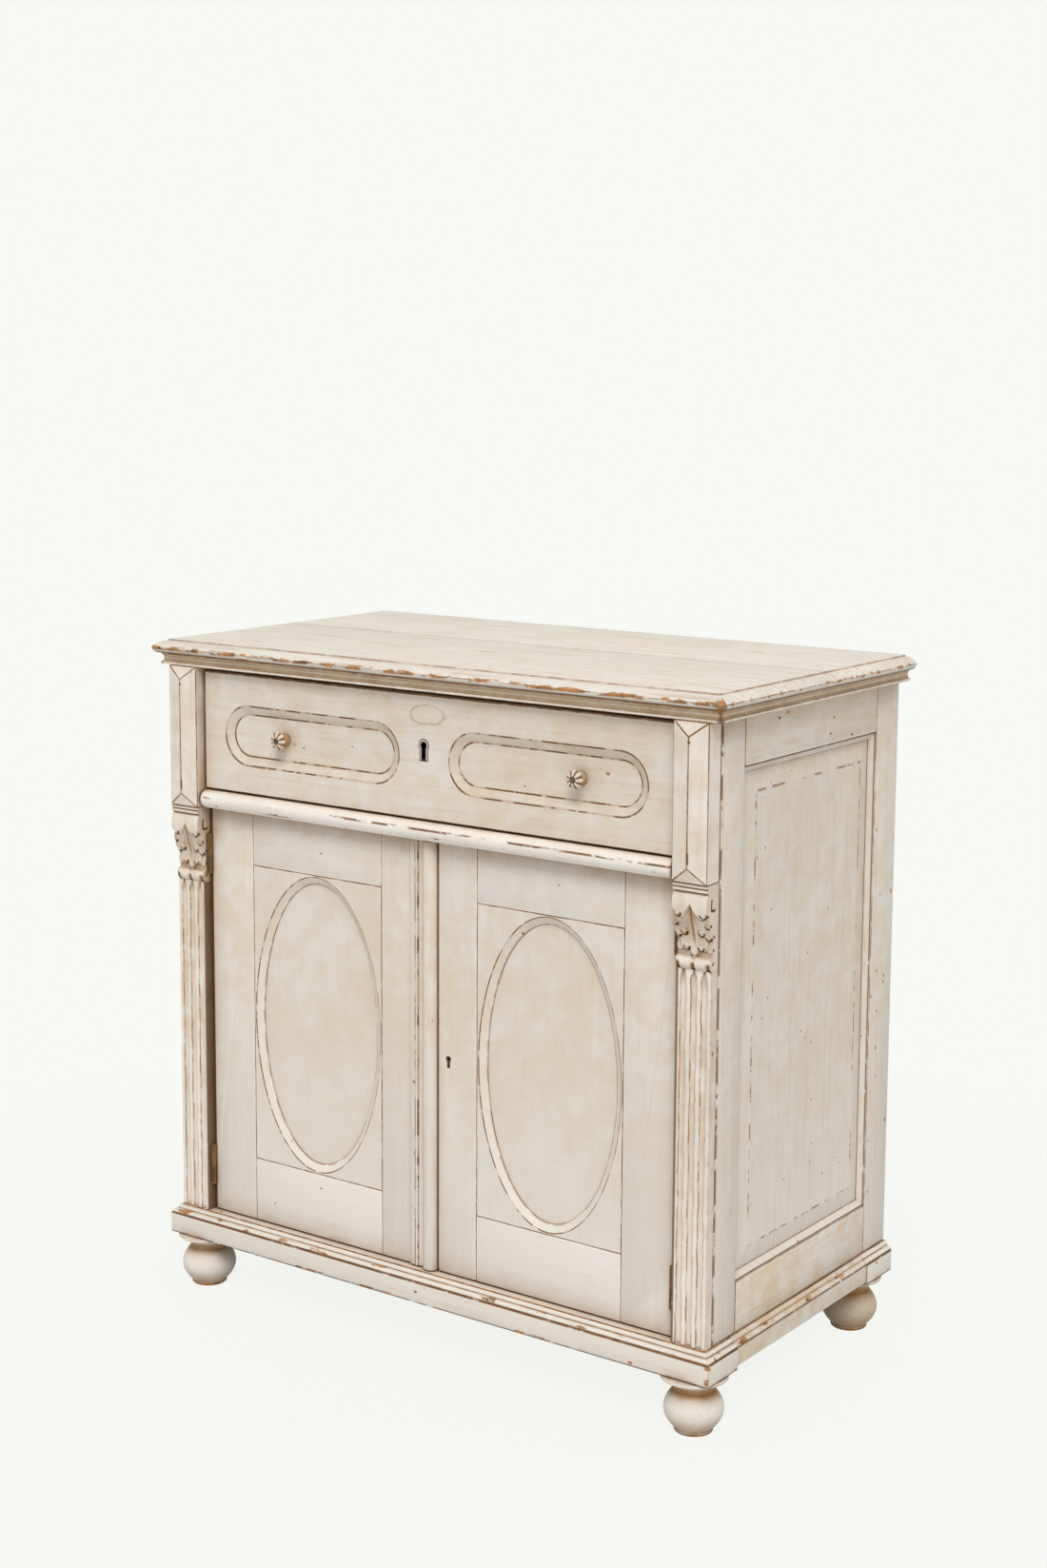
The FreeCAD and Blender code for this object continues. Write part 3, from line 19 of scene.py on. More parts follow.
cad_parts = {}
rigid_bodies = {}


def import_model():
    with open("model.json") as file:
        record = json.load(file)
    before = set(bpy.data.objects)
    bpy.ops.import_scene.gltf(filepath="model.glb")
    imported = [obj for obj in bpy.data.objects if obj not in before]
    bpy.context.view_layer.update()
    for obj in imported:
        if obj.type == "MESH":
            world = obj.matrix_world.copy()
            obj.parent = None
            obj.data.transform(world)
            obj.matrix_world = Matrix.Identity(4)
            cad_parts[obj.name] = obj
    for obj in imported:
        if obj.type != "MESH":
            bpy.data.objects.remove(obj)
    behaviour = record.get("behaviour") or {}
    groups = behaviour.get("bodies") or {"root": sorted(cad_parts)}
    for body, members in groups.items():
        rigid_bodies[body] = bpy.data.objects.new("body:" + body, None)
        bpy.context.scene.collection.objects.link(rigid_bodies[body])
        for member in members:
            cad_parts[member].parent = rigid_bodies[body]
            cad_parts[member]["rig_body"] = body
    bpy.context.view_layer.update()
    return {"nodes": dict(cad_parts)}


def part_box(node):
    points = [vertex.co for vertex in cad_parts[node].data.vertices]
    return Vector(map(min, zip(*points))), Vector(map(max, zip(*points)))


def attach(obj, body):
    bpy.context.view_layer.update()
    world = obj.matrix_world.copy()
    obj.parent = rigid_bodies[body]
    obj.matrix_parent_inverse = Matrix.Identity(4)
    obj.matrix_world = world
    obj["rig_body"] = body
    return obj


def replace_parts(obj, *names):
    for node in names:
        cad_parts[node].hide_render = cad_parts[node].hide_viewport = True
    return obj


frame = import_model()
LOG = logging.getLogger("cupboard")
MM = 0.001

Colour = tuple[float, float, float, float]
Point = tuple[float, float, float]
Pair = tuple[float, float]
Profile = Sequence[Pair]
Socket = bpy.types.NodeSocket
Piece = bpy.types.Object
Mesh = bmesh.types.BMesh


def tone(red: int, green: int, blue: int) -> Colour:
    """Linear colour of a display colour.

    Args:
        red: display red, 0 to 255.
        green: display green, 0 to 255.
        blue: display blue, 0 to 255.

    Returns:
        Linear red, green and blue with an alpha of 1.
    """
    def linear(part: int) -> float:
        """Linear value of one channel."""
        share = part / 255
        return share / 12.92 if share <= 0.04045 else ((share + 0.055) / 1.055) ** 2.4
    return linear(red), linear(green), linear(blue), 1.0


class Grain(Enum):
    """Axis that a board's grain and its brush marks run along."""

    ALONG_X = 0
    ALONG_Y = 1
    ALONG_Z = 2


class Sheet:
    """Node sheet of one material, with short calls for the nodes that the finishes share."""

    def __init__(self, name: str) -> None:
        """Start an empty sheet with a surface shader.

        Args:
            name: the material's name.
        """
        self.material = bpy.data.materials.new(name)
        self.material.use_nodes = True
        self.tree = self.material.node_tree
        self.tree.nodes.clear()
        self.output = self.add("ShaderNodeOutputMaterial")
        self.shader = self.add("ShaderNodeBsdfPrincipled")
        self.tree.links.new(self.shader.outputs["BSDF"], self.output.inputs["Surface"])
        self.place = self.add("ShaderNodeTexCoord").outputs["Object"]

    def add(self, kind: str, **settings: object) -> bpy.types.Node:
        """New node of a kind with some of its properties set.

        Args:
            kind: the node's type.
            settings: properties and their values.

        Returns:
            The node.
        """
        node = self.tree.nodes.new(kind)
        for name, value in settings.items():
            setattr(node, name, value)
        return node

    def feed(self, socket: Socket, value: object) -> None:
        """Link another socket into a socket, or set its own value.

        Args:
            socket: the input.
            value: a socket or a plain value.
        """
        if isinstance(value, Socket):
            self.tree.links.new(value, socket)
        else:
            socket.default_value = value

    def fill(self, node: bpy.types.Node, values: dict[str, object]) -> bpy.types.Node:
        """Set a node's inputs by name, or link sockets into them.

        Args:
            node: the node.
            values: input names with sockets or plain values.

        Returns:
            The node.
        """
        for name, value in values.items():
            self.feed(node.inputs[name], value)
        return node

    def arith(self, operation: str, *values: object, clamp: bool = False) -> Socket:
        """Result of one arithmetic step.

        Args:
            operation: name of the Math node's operation.
            values: sockets or numbers that it works on.
            clamp: keep the result between 0 and 1.

        Returns:
            The result's socket.
        """
        node = self.add("ShaderNodeMath", operation=operation, use_clamp=clamp)
        for socket, value in zip(node.inputs, values):
            self.feed(socket, value)
        return node.outputs[0]

    def times(self, first: object, second: object, clamp: bool = False) -> Socket:
        """Product of two values."""
        return self.arith("MULTIPLY", first, second, clamp=clamp)

    def most(self, first: object, second: object) -> Socket:
        """Larger of two values."""
        return self.arith("MAXIMUM", first, second)

    def scaled(self, value: object, factor: object, plus: object) -> Socket:
        """Value times a factor, plus another value."""
        return self.arith("MULTIPLY_ADD", value, factor, plus)

    def blend(self, share: object, first: object, second: object) -> Socket:
        """Colour between two colours.

        Args:
            share: how much of the second, 0 to 1.
            first: colour or socket at 0.
            second: colour or socket at 1.

        Returns:
            The colour's socket.
        """
        node = self.add("ShaderNodeMix", data_type="RGBA")
        self.feed(node.inputs[0], share)
        self.feed(node.inputs[6], first)
        self.feed(node.inputs[7], second)
        return node.outputs[2]

    def ramp(self, value: object, low: float, high: float) -> Socket:
        """Smooth step from 0 at low to 1 at high; low may be the larger.

        Args:
            value: socket that is stepped.
            low: where the step is 0.
            high: where it is 1.

        Returns:
            The step's socket.
        """
        flip = low > high
        node = self.fill(self.add("ShaderNodeMapRange", interpolation_type="SMOOTHSTEP"), {
            "Value": value, "From Min": min(low, high), "From Max": max(low, high),
            "To Min": float(flip), "To Max": float(not flip)})
        return node.outputs["Result"]

    def spread(self, scale: Point, shift: float = 0.0) -> Socket:
        """Object coordinates stretched per axis and shifted.

        Args:
            scale: stretch of each axis.
            shift: how far a pattern on them is moved.

        Returns:
            The coordinates' socket.
        """
        node = self.fill(self.add("ShaderNodeMapping"), {
            "Vector": self.place, "Location": (shift, shift * 0.7, shift * 1.3), "Scale": scale})
        return node.outputs["Vector"]

    def along(self, grain: Grain, squeeze: float, shift: float = 0.0) -> Socket:
        """Object coordinates squeezed along the grain, so that a pattern runs out into streaks.

        Args:
            grain: axis that is squeezed.
            squeeze: its scale, below 1 for long streaks.
            shift: how far a pattern on them is moved.

        Returns:
            The coordinates' socket.
        """
        scale = [1.0, 1.0, 1.0]
        scale[grain.value] = squeeze
        return self.spread(tuple(scale), shift)

    def noise(self, place: object, scale: float, detail: float = 2.0, rough: float = 0.5) -> Socket:
        """Noise value at a place.

        Args:
            place: coordinates' socket.
            scale: how fine the noise is.
            detail: how many finer layers it has.
            rough: how strong these are.

        Returns:
            The value's socket.
        """
        node = self.fill(self.add("ShaderNodeTexNoise"), {
            "Vector": place, "Scale": scale, "Detail": detail, "Roughness": rough})
        return node.outputs["Fac"]

    def cells(self, place: object, scale: float) -> tuple[Socket, Socket]:
        """Distance to the nearest of scattered points, and that point's random colour."""
        node = self.fill(self.add("ShaderNodeTexVoronoi"), {"Vector": place, "Scale": scale})
        return node.outputs["Distance"], node.outputs["Color"]

    def hollow(self, reach: float, inside: bool = False) -> Socket:
        """How shut in a point is, 0 in the open; with inside, how near it is to an outer edge.

        Args:
            reach: how far other surfaces count.
            inside: look into the piece and not out of it.

        Returns:
            The value's socket.
        """
        node = self.add("ShaderNodeAmbientOcclusion", samples=4, inside=inside, only_local=inside)
        node.inputs["Distance"].default_value = reach
        return self.arith("SUBTRACT", 1.0, node.outputs["AO"])

    def axis(self, grain: Grain) -> Socket:
        """One object coordinate.

        Args:
            grain: its axis.

        Returns:
            The coordinate's socket.
        """
        node = self.add("ShaderNodeSeparateXYZ")
        self.feed(node.inputs[0], self.place)
        return node.outputs[grain.value]

    def attribute(self, name: str) -> Socket:
        """Number that the mesh carries under a name."""
        return self.add("ShaderNodeAttribute", attribute_name=name).outputs["Fac"]

    def bump(self, height: object, strength: float, depth: float) -> None:
        """Roughen the surface by a height.

        Args:
            height: the height's socket.
            strength: how much of it shows, 0 to 1.
            depth: height in metres that 1 stands for.
        """
        node = self.fill(self.add("ShaderNodeBump"), {
            "Strength": strength, "Distance": depth, "Height": height})
        self.feed(self.shader.inputs["Normal"], node.outputs["Normal"])


@dataclass(frozen=True)
class Rubbed:
    """Stretch of a piece where the paint is rubbed through to the wood, or where wax lies thick.

    Attributes:
        low: lower corner of the stretch.
        high: upper corner of the stretch.
        reach: how far the wear spreads from it.
        amount: how much of it is worn, 0 to 1.
        core: share of the reach that is worn in full.
    """

    low: Point
    high: Point
    reach: float
    amount: float
    core: float = 0.4

    def mask(self, sheet: Sheet) -> Socket:
        """1 on the stretch, falling to 0 at its reach.

        Args:
            sheet: the sheet it is drawn on.

        Returns:
            The mask's socket.
        """
        nearest = sheet.place
        for operation, corner in (("MAXIMUM", self.low), ("MINIMUM", self.high)):
            limit = sheet.add("ShaderNodeVectorMath", operation=operation)
            sheet.feed(limit.inputs[0], nearest)
            limit.inputs[1].default_value = corner
            nearest = limit.outputs["Vector"]
        away = sheet.add("ShaderNodeVectorMath", operation="DISTANCE")
        sheet.feed(away.inputs[0], sheet.place)
        sheet.feed(away.inputs[1], nearest)
        return sheet.ramp(away.outputs["Value"], self.reach, self.reach * self.core)


def rubbed_level(height: float, reach: float, amount: float) -> Rubbed:
    """Wear all round a piece at one height."""
    return Rubbed((-1.0, -1.0, height), (1.0, 1.0, height), reach, amount)


def rubbed_upright(across: float, span: Pair, reach: float, amount: float) -> Rubbed:
    """Wear along an upright line at one place across, between two heights."""
    return Rubbed((across, -1.0, span[0]), (across, 1.0, span[1]), reach, amount)


def rubbed_spot(middle: Point, reach: float, amount: float) -> Rubbed:
    """Wear about one point."""
    return Rubbed(middle, middle, reach, amount)


def rubbed_border(low: Vector, high: Vector, reach: float, amount: float) -> tuple[Rubbed, ...]:
    """Wear along the four edges of an upright rectangle on one side of the cupboard.

    Args:
        low: its lower corner.
        high: its upper corner, at the same place across.
        reach: how far the wear spreads.
        amount: how much of it is worn, 0 to 1.

    Returns:
        One stretch for each edge.
    """
    corners = [(low.x, y, z) for y, z in ((low.y, low.z), (low.y, high.z), (high.y, high.z), (high.y, low.z))]
    return tuple(Rubbed(tuple(map(min, first, last)), tuple(map(max, first, last)), reach, amount)
                 for first, last in zip(corners, corners[1:] + corners[:1]))


@dataclass(frozen=True)
class OldMark:
    """Oval outline of a plate that once sat on the front and was painted over.

    Attributes:
        middle: its middle, across and up.
        half: half its width and half its height.
    """

    middle: Pair
    half: Pair

    def mask(self, sheet: Sheet) -> Socket:
        """1 on the outline, falling to 0 on both sides of it.

        Args:
            sheet: the sheet it is drawn on.

        Returns:
            The mask's socket.
        """
        squares = []
        for axis, middle, half in zip((Grain.ALONG_X, Grain.ALONG_Z), self.middle, self.half):
            share = sheet.arith("DIVIDE", sheet.arith("SUBTRACT", sheet.axis(axis), middle), half)
            squares.append(sheet.times(share, share))
        uneven = sheet.scaled(sheet.noise(sheet.place, 55.0, 3.0), 1.1, 0.3)
        off = sheet.arith("ABSOLUTE", sheet.arith("SUBTRACT", sheet.arith("ADD", *squares), uneven))
        return sheet.ramp(off, 0.28, 0.05)


# Patterns in the paint: scale, detail and roughness of the noise
CLOUD = (6.0, 3.0)
BLOTCH = (30.0, 4.0, 0.6)
PATCH = (75.0, 4.0, 0.65)
BREAKS = (42.0, 3.0, 0.6)
RUNS = (62.0, 3.0, 0.6)
STREAK = (160.0, 4.0, 0.6)
HAIR = (520.0, 3.0)
# How far away a surface still makes a tight corner and a wide one, for the painted shade in them
TIGHT = 6 * MM
WIDE = 35 * MM


@dataclass(frozen=True)
class AgedPaint:
    """Cream paint with brush marks, brown wax and painted shade in the corners, painted highlights beside
    outer edges and wood showing at worn edges.

    Attributes:
        name: material name.
        grain: way of the brush marks.
        shift: moves the patterns, so that neighbours differ.
        chips: how much paint is off the outer edges.
        lines: how dark the fine lines at edges and joints are.
        rim: how far the painted highlight, a line's wax and the chips spread from an outer edge.
        warm: how much the paint leans to beige.
        warm_low: how much of that is left near the floor, 0 to 1.
        streaks: how strongly the grain shows through.
        wide_shade_and_wax: how much wax and painted shade lie in wide corners.
        unbroken: how little the fine lines are broken, 0 to 1.
        knocks: shape of the small knocks along the grain, 1 for round ones and less for longer ones.
        worn: stretches where the paint is rubbed through.
        grimy: stretches where brown wax lies thick.
        marks: outlines of old plates under the paint.
        clean_paint_and_highlight: paint rubbed clean between the brush marks, also the painted highlight
            beside the outer edges.
        pale: the paint's main colour.
        beige: its yellowed patches.
        wax: thin brown wax, also the colour of the painted shade in wide corners.
        dark_wax_and_shade: thick dark wax, also the colour of painted shade in tight corners, gaps and
            keyholes.
        wood: wood where the paint is gone.
        dark_wood: darker patches of that wood.
    """

    name: str
    grain: Grain
    shift: float = 0.0
    chips: float = 0.5
    lines: float = 0.95
    rim: float = 5 * MM
    warm: float = 0.32
    warm_low: float = 0.1
    streaks: float = 0.3
    wide_shade_and_wax: float = 1.15
    unbroken: float = 0.0
    knocks: float = 0.6
    worn: tuple[Rubbed, ...] = ()
    grimy: tuple[Rubbed, ...] = ()
    marks: tuple[OldMark, ...] = ()
    clean_paint_and_highlight: Colour = tone(254, 251, 245)
    pale: Colour = tone(232, 227, 219)
    beige: Colour = tone(224, 206, 180)
    wax: Colour = tone(168, 126, 74)
    dark_wax_and_shade: Colour = tone(102, 66, 31)
    wood: Colour = tone(184, 124, 56)
    dark_wood: Colour = tone(94, 56, 22)

    @lru_cache(maxsize=None)
    def material(self) -> bpy.types.Material:
        """Build the material once.

        Returns:
            The material.
        """
        sheet = Sheet(self.name)
        place = sheet.spread((1, 1, 1), self.shift)
        cloud, blotch = sheet.noise(place, *CLOUD), sheet.noise(place, *BLOTCH)
        patch, breaks = sheet.noise(place, *PATCH), sheet.noise(place, *BREAKS)
        streak = sheet.noise(sheet.along(self.grain, 0.05, self.shift), *STREAK)
        hair = sheet.noise(sheet.along(self.grain, 0.015, self.shift + 3.0), *HAIR)

        paint = self.coat(sheet, cloud, blotch, streak, hair)
        edge, tight, wide = sheet.attribute("edge"), sheet.hollow(TIGHT), sheet.hollow(WIDE)
        rim = sheet.hollow(self.rim, inside=True)
        # Painted highlight: a pale band just inside the outer edges, partly paint rubbed clean there.
        paint = sheet.blend(sheet.times(sheet.ramp(rim, 0.02, 0.14), 0.6), paint, self.clean_paint_and_highlight)
        # Painted shade and wax: wide corners, found by occlusion, darken towards the wax colour, and the
        # sloping faces' wax is added.
        wax = sheet.scaled(wide, self.wide_shade_and_wax, sheet.attribute("stain"))
        wax = sheet.times(wax, sheet.scaled(blotch, 1.1, 0.25), clamp=True)
        paint = sheet.blend(wax, paint, self.wax)
        dashes = sheet.most(sheet.ramp(breaks, 0.4, 0.54), sheet.ramp(tight, 0.12, 0.4))
        dashes = sheet.most(dashes, self.unbroken)
        seam = sheet.most(sheet.ramp(edge, 0.0, 0.6), sheet.times(sheet.ramp(rim, 0.16, 0.4), 0.5))
        soft = sheet.times(seam, sheet.scaled(dashes, 0.55, 0.35))
        paint = sheet.blend(sheet.times(soft, self.lines), paint, self.wax)
        line = sheet.times(sheet.times(sheet.ramp(edge, 0.35, 0.95), dashes), self.lines)
        # Painted shade: tight corners, found by occlusion, darken towards the dark colour, broken by patches.
        dark_wax_and_shade = sheet.times(sheet.ramp(tight, 0.22, 0.62), sheet.ramp(patch, 0.1, 0.45))
        dark = sheet.most(sheet.times(dark_wax_and_shade, 0.65), line)
        for thick in self.grimy:
            low = 0.75 - thick.amount
            lying = sheet.times(thick.mask(sheet), sheet.ramp(breaks, low, low + 0.1))
            dark = sheet.most(dark, sheet.times(lying, 0.7 + 0.3 * thick.amount))
        paint = sheet.blend(dark, paint, self.dark_wax_and_shade)

        wear = sheet.ramp(sheet.times(rim, sheet.times(patch, self.chips)), 0.14, 0.2)
        runs = sheet.noise(sheet.along(self.grain, 0.35, self.shift + 5.0), *RUNS)
        for bare in self.worn:
            low = 0.74 - 0.34 * bare.amount
            gone = sheet.times(bare.mask(sheet), sheet.ramp(runs, low, low + 0.07))
            wear = sheet.most(wear, gone)
        wear = sheet.most(wear, self.specks(sheet))
        timber = sheet.blend(sheet.ramp(patch, 0.42, 0.66), self.wood, self.dark_wood)
        paint = sheet.blend(sheet.times(wear, 0.92), paint, timber)

        sheet.fill(sheet.shader, {
            "Base Color": paint, "Roughness": sheet.scaled(hair, 0.2, 0.45), "Specular IOR Level": 0.2})
        skin = sheet.scaled(hair, 0.5, sheet.times(streak, 0.6))
        sheet.bump(sheet.arith("SUBTRACT", skin, sheet.times(wear, 0.8)), 0.3, 0.0006)
        return sheet.material

    def coat(self, sheet: Sheet, cloud: Socket, blotch: Socket, streak: Socket, hair: Socket) -> Socket:
        """Colour of the paint itself, cooler near the floor.

        Args:
            sheet: the sheet it is drawn on.
            cloud: broad patches.
            blotch: hand-sized patches.
            streak: brush streaks.
            hair: single bristle lines.

        Returns:
            The colour's socket.
        """
        high = sheet.most(sheet.ramp(sheet.axis(Grain.ALONG_Z), 0.1, 0.6), self.warm_low)
        mottle = sheet.ramp(sheet.scaled(cloud, 0.8, blotch), 0.66, 1.14)
        warmth = sheet.times(sheet.times(mottle, high), 2 * self.warm, clamp=True)
        paint = sheet.blend(warmth, self.pale, self.beige)
        brushed = sheet.times(sheet.ramp(streak, 0.5, 0.75), 0.5 * self.streaks)
        paint = sheet.blend(brushed, paint, self.wax)
        brushed = sheet.times(sheet.ramp(streak, 0.46, 0.3), 0.5 * self.streaks)
        paint = sheet.blend(brushed, paint, self.clean_paint_and_highlight)
        scratches = sheet.times(sheet.ramp(hair, 0.63, 0.7), sheet.ramp(blotch, 0.45, 0.6))
        paint = sheet.blend(sheet.times(scratches, 0.7 * self.streaks), paint, self.wax)
        for mark in self.marks:
            ring = sheet.times(mark.mask(sheet), sheet.ramp(blotch, 0.3, 0.6))
            paint = sheet.blend(sheet.times(ring, 0.45), paint, self.wax)
        return paint

    def specks(self, sheet: Sheet) -> Socket:
        """Small knocks scattered over the paint, some longer than others.

        Args:
            sheet: the sheet it is drawn on.

        Returns:
            The mask's socket.
        """
        gap, kind = sheet.cells(sheet.along(self.grain, self.knocks, self.shift + 1.0), 55.0)
        pick = sheet.add("ShaderNodeSeparateColor")
        sheet.feed(pick.inputs[0], kind)
        size = sheet.times(pick.outputs[0], sheet.ramp(pick.outputs[1], 0.42, 0.5))
        return sheet.ramp(sheet.arith("SUBTRACT", sheet.times(size, 0.14), gap), 0.0, 0.02)


@dataclass(frozen=True)
class BarePine:
    """Unpainted pine, yellowed, with growth lines along the grain.

    Attributes:
        name: material name.
        grain: way of the growth lines.
        early: pale wood between them.
        late: the growth lines.
        pine_corner_shade: painted shade in the corners and gaps.
    """

    name: str
    grain: Grain
    early: Colour = tone(208, 178, 134)
    late: Colour = tone(160, 116, 72)
    pine_corner_shade: Colour = tone(92, 66, 42)

    @lru_cache(maxsize=None)
    def material(self) -> bpy.types.Material:
        """Build the material once.

        Returns:
            The material.
        """
        sheet = Sheet(self.name)
        tint = sheet.noise(sheet.along(self.grain, 0.1), 12.0, 3.0)
        lines = sheet.add("ShaderNodeTexWave", bands_direction="DIAGONAL", wave_profile="SAW")
        sheet.fill(lines, {"Vector": sheet.along(self.grain, 0.07, 0.9), "Scale": 7.0, "Distortion": 8.0,
                           "Detail": 3.0, "Detail Scale": 1.4})
        pores = sheet.noise(sheet.along(self.grain, 0.02), 420.0, 4.0, 0.6)
        timber = sheet.blend(sheet.times(lines.outputs["Fac"], 0.4), self.early, self.late)
        timber = sheet.blend(sheet.times(sheet.ramp(tint, 0.4, 0.75), 0.35), timber, self.late)
        timber = sheet.blend(sheet.times(sheet.ramp(pores, 0.5, 0.72), 0.35), timber, self.late)
        # Painted shade: the wood darkens in its corners and in the gaps round it.
        timber = sheet.blend(sheet.times(sheet.hollow(0.04), 0.6), timber, self.pine_corner_shade)
        sheet.fill(sheet.shader, {
            "Base Color": timber, "Roughness": sheet.scaled(pores, 0.2, 0.55), "Specular IOR Level": 0.25})
        sheet.bump(sheet.arith("ADD", pores, lines.outputs["Fac"]), 0.2, 0.0004)
        return sheet.material


@dataclass(frozen=True)
class OldMetal:
    """Dull metal with patches of tarnish.

    Attributes:
        name: material name.
        bright: colour where it is rubbed.
        dull: colour of the tarnish.
        rough: roughness where it is rubbed.
        metal_corner_shade: painted shade in the corners.
    """

    name: str
    bright: Colour
    dull: Colour
    rough: float
    metal_corner_shade: Colour = tone(20, 15, 11)

    @lru_cache(maxsize=None)
    def material(self) -> bpy.types.Material:
        """Build the material once.

        Returns:
            The material.
        """
        sheet = Sheet(self.name)
        patch = sheet.noise(sheet.place, 180.0, 4.0, 0.65)
        tarnish = sheet.ramp(patch, 0.35, 0.65)
        metal = sheet.blend(tarnish, self.bright, self.dull)
        # Painted shade: the metal darkens in its corners.
        shade = sheet.ramp(sheet.hollow(0.015), 0.3, 0.8)
        sheet.fill(sheet.shader, {"Base Color": sheet.blend(shade, metal, self.metal_corner_shade), "Metallic": 0.85,
                                  "Roughness": sheet.scaled(tarnish, 0.3, self.rough)})
        sheet.bump(patch, 0.3, 0.0003)
        return sheet.material


PAINT_Z = AgedPaint("paint_brushed_upright", Grain.ALONG_Z, shift=4.0)
# Painted shade: iron of the hinges in the door gaps, as dark as the shade there.
GAP_SHADE_IRON = AgedPaint("iron_dark_as_gap_shade", Grain.ALONG_Z, shift=20.0, chips=0.0, pale=tone(62, 45, 30),
                         beige=tone(52, 38, 25), clean_paint_and_highlight=tone(78, 60, 42))
PINE = {grain: BarePine(f"bare_pine_{grain.name.lower()}", grain) for grain in Grain}
IRON = OldMetal("dull_iron", tone(120, 112, 104), tone(56, 44, 36), 0.45)

Finish = AgedPaint | BarePine | OldMetal
# Way of each side along X
SIDES = {"left": -1, "right": 1}
# Painted shade: black inside the keyholes
KEYHOLE_SHADE = tone(24, 16, 10)
# Shortest edge that is rounded, angle in degrees below which faces shade as one curve, and least share of a
# normal along one axis for a face that isn't sloping
SHORTEST = 0.9 * MM
CURVE = 32.0
SQUARE = 0.985


def dress(piece: Piece, finish: Finish) -> Piece:
    """Give a piece one finish all over.

    Args:
        piece: the piece.
        finish: what it is dressed in.

    Returns:
        The same piece.
    """
    piece.data.materials.clear()
    piece.data.materials.append(finish.material())
    LOG.info("%s: %s on %d faces", piece.name, finish.name, len(piece.data.polygons))
    return piece


def eased(node: str, width: float, finish: Finish, smooth: float = CURVE, crisp: float | None = None,
          stain: float = 0.0, merge: float = 0.01 * MM) -> Piece:
    """Copy a CAD node, round its edges a little and let the copy stand for it.

    The number under the name edge rises to 1 along the middle of the rounding, for the paint's fine lines;
    sloping faces carry their wax under the name stain.

    Args:
        node: the CAD node.
        width: width of the rounding.
        finish: what it is dressed in.
        smooth: edges flatter than this many degrees aren't rounded and shade as one curve.
        crisp: edges flatter than this many degrees shade as one curve, where that isn't the same.
        stain: how much wax stays on sloping faces.
        merge: points nearer than this become one.

    Returns:
        The new piece, riding with the node's body.
    """
    source = frame["nodes"][node]
    work = bmesh.new()
    work.from_mesh(source.data)
    bmesh.ops.remove_doubles(work, verts=work.verts, dist=merge)
    bmesh.ops.dissolve_limit(work, angle_limit=math.radians(0.5), verts=work.verts, edges=work.edges)
    edge_mark, stain_mark = work.verts.layers.float.new("edge"), work.faces.layers.float.new("stain")
    for face in work.faces:
        face[stain_mark] = stain if max(abs(part) for part in face.normal) < SQUARE else 0.0
    sharp = [edge for edge in work.edges if len(edge.link_faces) == 2
             and edge.calc_face_angle() > math.radians(smooth) and edge.calc_length() > SHORTEST]
    rounded = bmesh.ops.bevel(work, geom=sharp, offset=width, offset_type="OFFSET", segments=2, profile=0.5,
                              affect="EDGES", clamp_overlap=False, material=-1)
    fresh = set(rounded["faces"])
    for vert in rounded["verts"]:
        vert[edge_mark] = float(fresh.issuperset(vert.link_faces))
    piece = finished(work, f"{node}_dressed", source["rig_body"], finish, smooth if crisp is None else crisp)
    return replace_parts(piece, node)


def finished(work: Mesh, name: str, body: str, finish: Finish, smooth: float = CURVE) -> Piece:
    """Make an object of a worked mesh, dress it and let it ride.

    Args:
        work: the mesh, which is freed.
        name: the piece's name.
        body: the CAD body that it moves with.
        finish: what it is dressed in.
        smooth: edges flatter than this many degrees shade as one curve.

    Returns:
        The new piece.
    """
    mesh = bpy.data.meshes.new(name)
    work.to_mesh(mesh)
    work.free()
    mesh.polygons.foreach_set("use_smooth", [True] * len(mesh.polygons))
    mesh.set_sharp_from_angle(angle=math.radians(smooth))
    piece = bpy.data.objects.new(name, mesh)
    bpy.context.scene.collection.objects.link(piece)
    dress(piece, finish)
    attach(piece, body)
    return piece


def spun(profile: Profile, steps: int) -> Mesh:
    """Turn a profile about the upright axis.

    Args:
        profile: radius and height pairs in millimetres, from one end on the axis to the other.
        steps: sides of the turning.

    Returns:
        The closed turned shape.
    """
    work = bmesh.new()
    verts = [work.verts.new((radius * MM, 0.0, height * MM)) for radius, height in profile]
    edges = [work.edges.new(ends) for ends in zip(verts, verts[1:])]
    bmesh.ops.spin(work, geom=verts + edges, cent=(0, 0, 0), axis=(0, 0, 1), angle=math.tau, steps=steps,
                   use_merge=True)
    bmesh.ops.remove_doubles(work, verts=work.verts, dist=0.02 * MM)
    bmesh.ops.recalc_face_normals(work, faces=work.faces)
    return work


def bowed(start: Pair, stop: Pair, bow: float, count: int) -> list[Pair]:
    """Points on a bowed line, without its start.

    Args:
        start: first point.
        stop: last point.
        bow: greatest distance from the straight line, to the right of the way where positive.
        count: number of points.

    Returns:
        The points, ending with stop.
    """
    first, last = Vector(start), Vector(stop)
    run = last - first
    side = Vector((run.y, -run.x)).normalized()
    shares = [index / count for index in range(1, count + 1)]
    return [tuple(first + run * share + side * bow * 4 * share * (1 - share)) for share in shares]


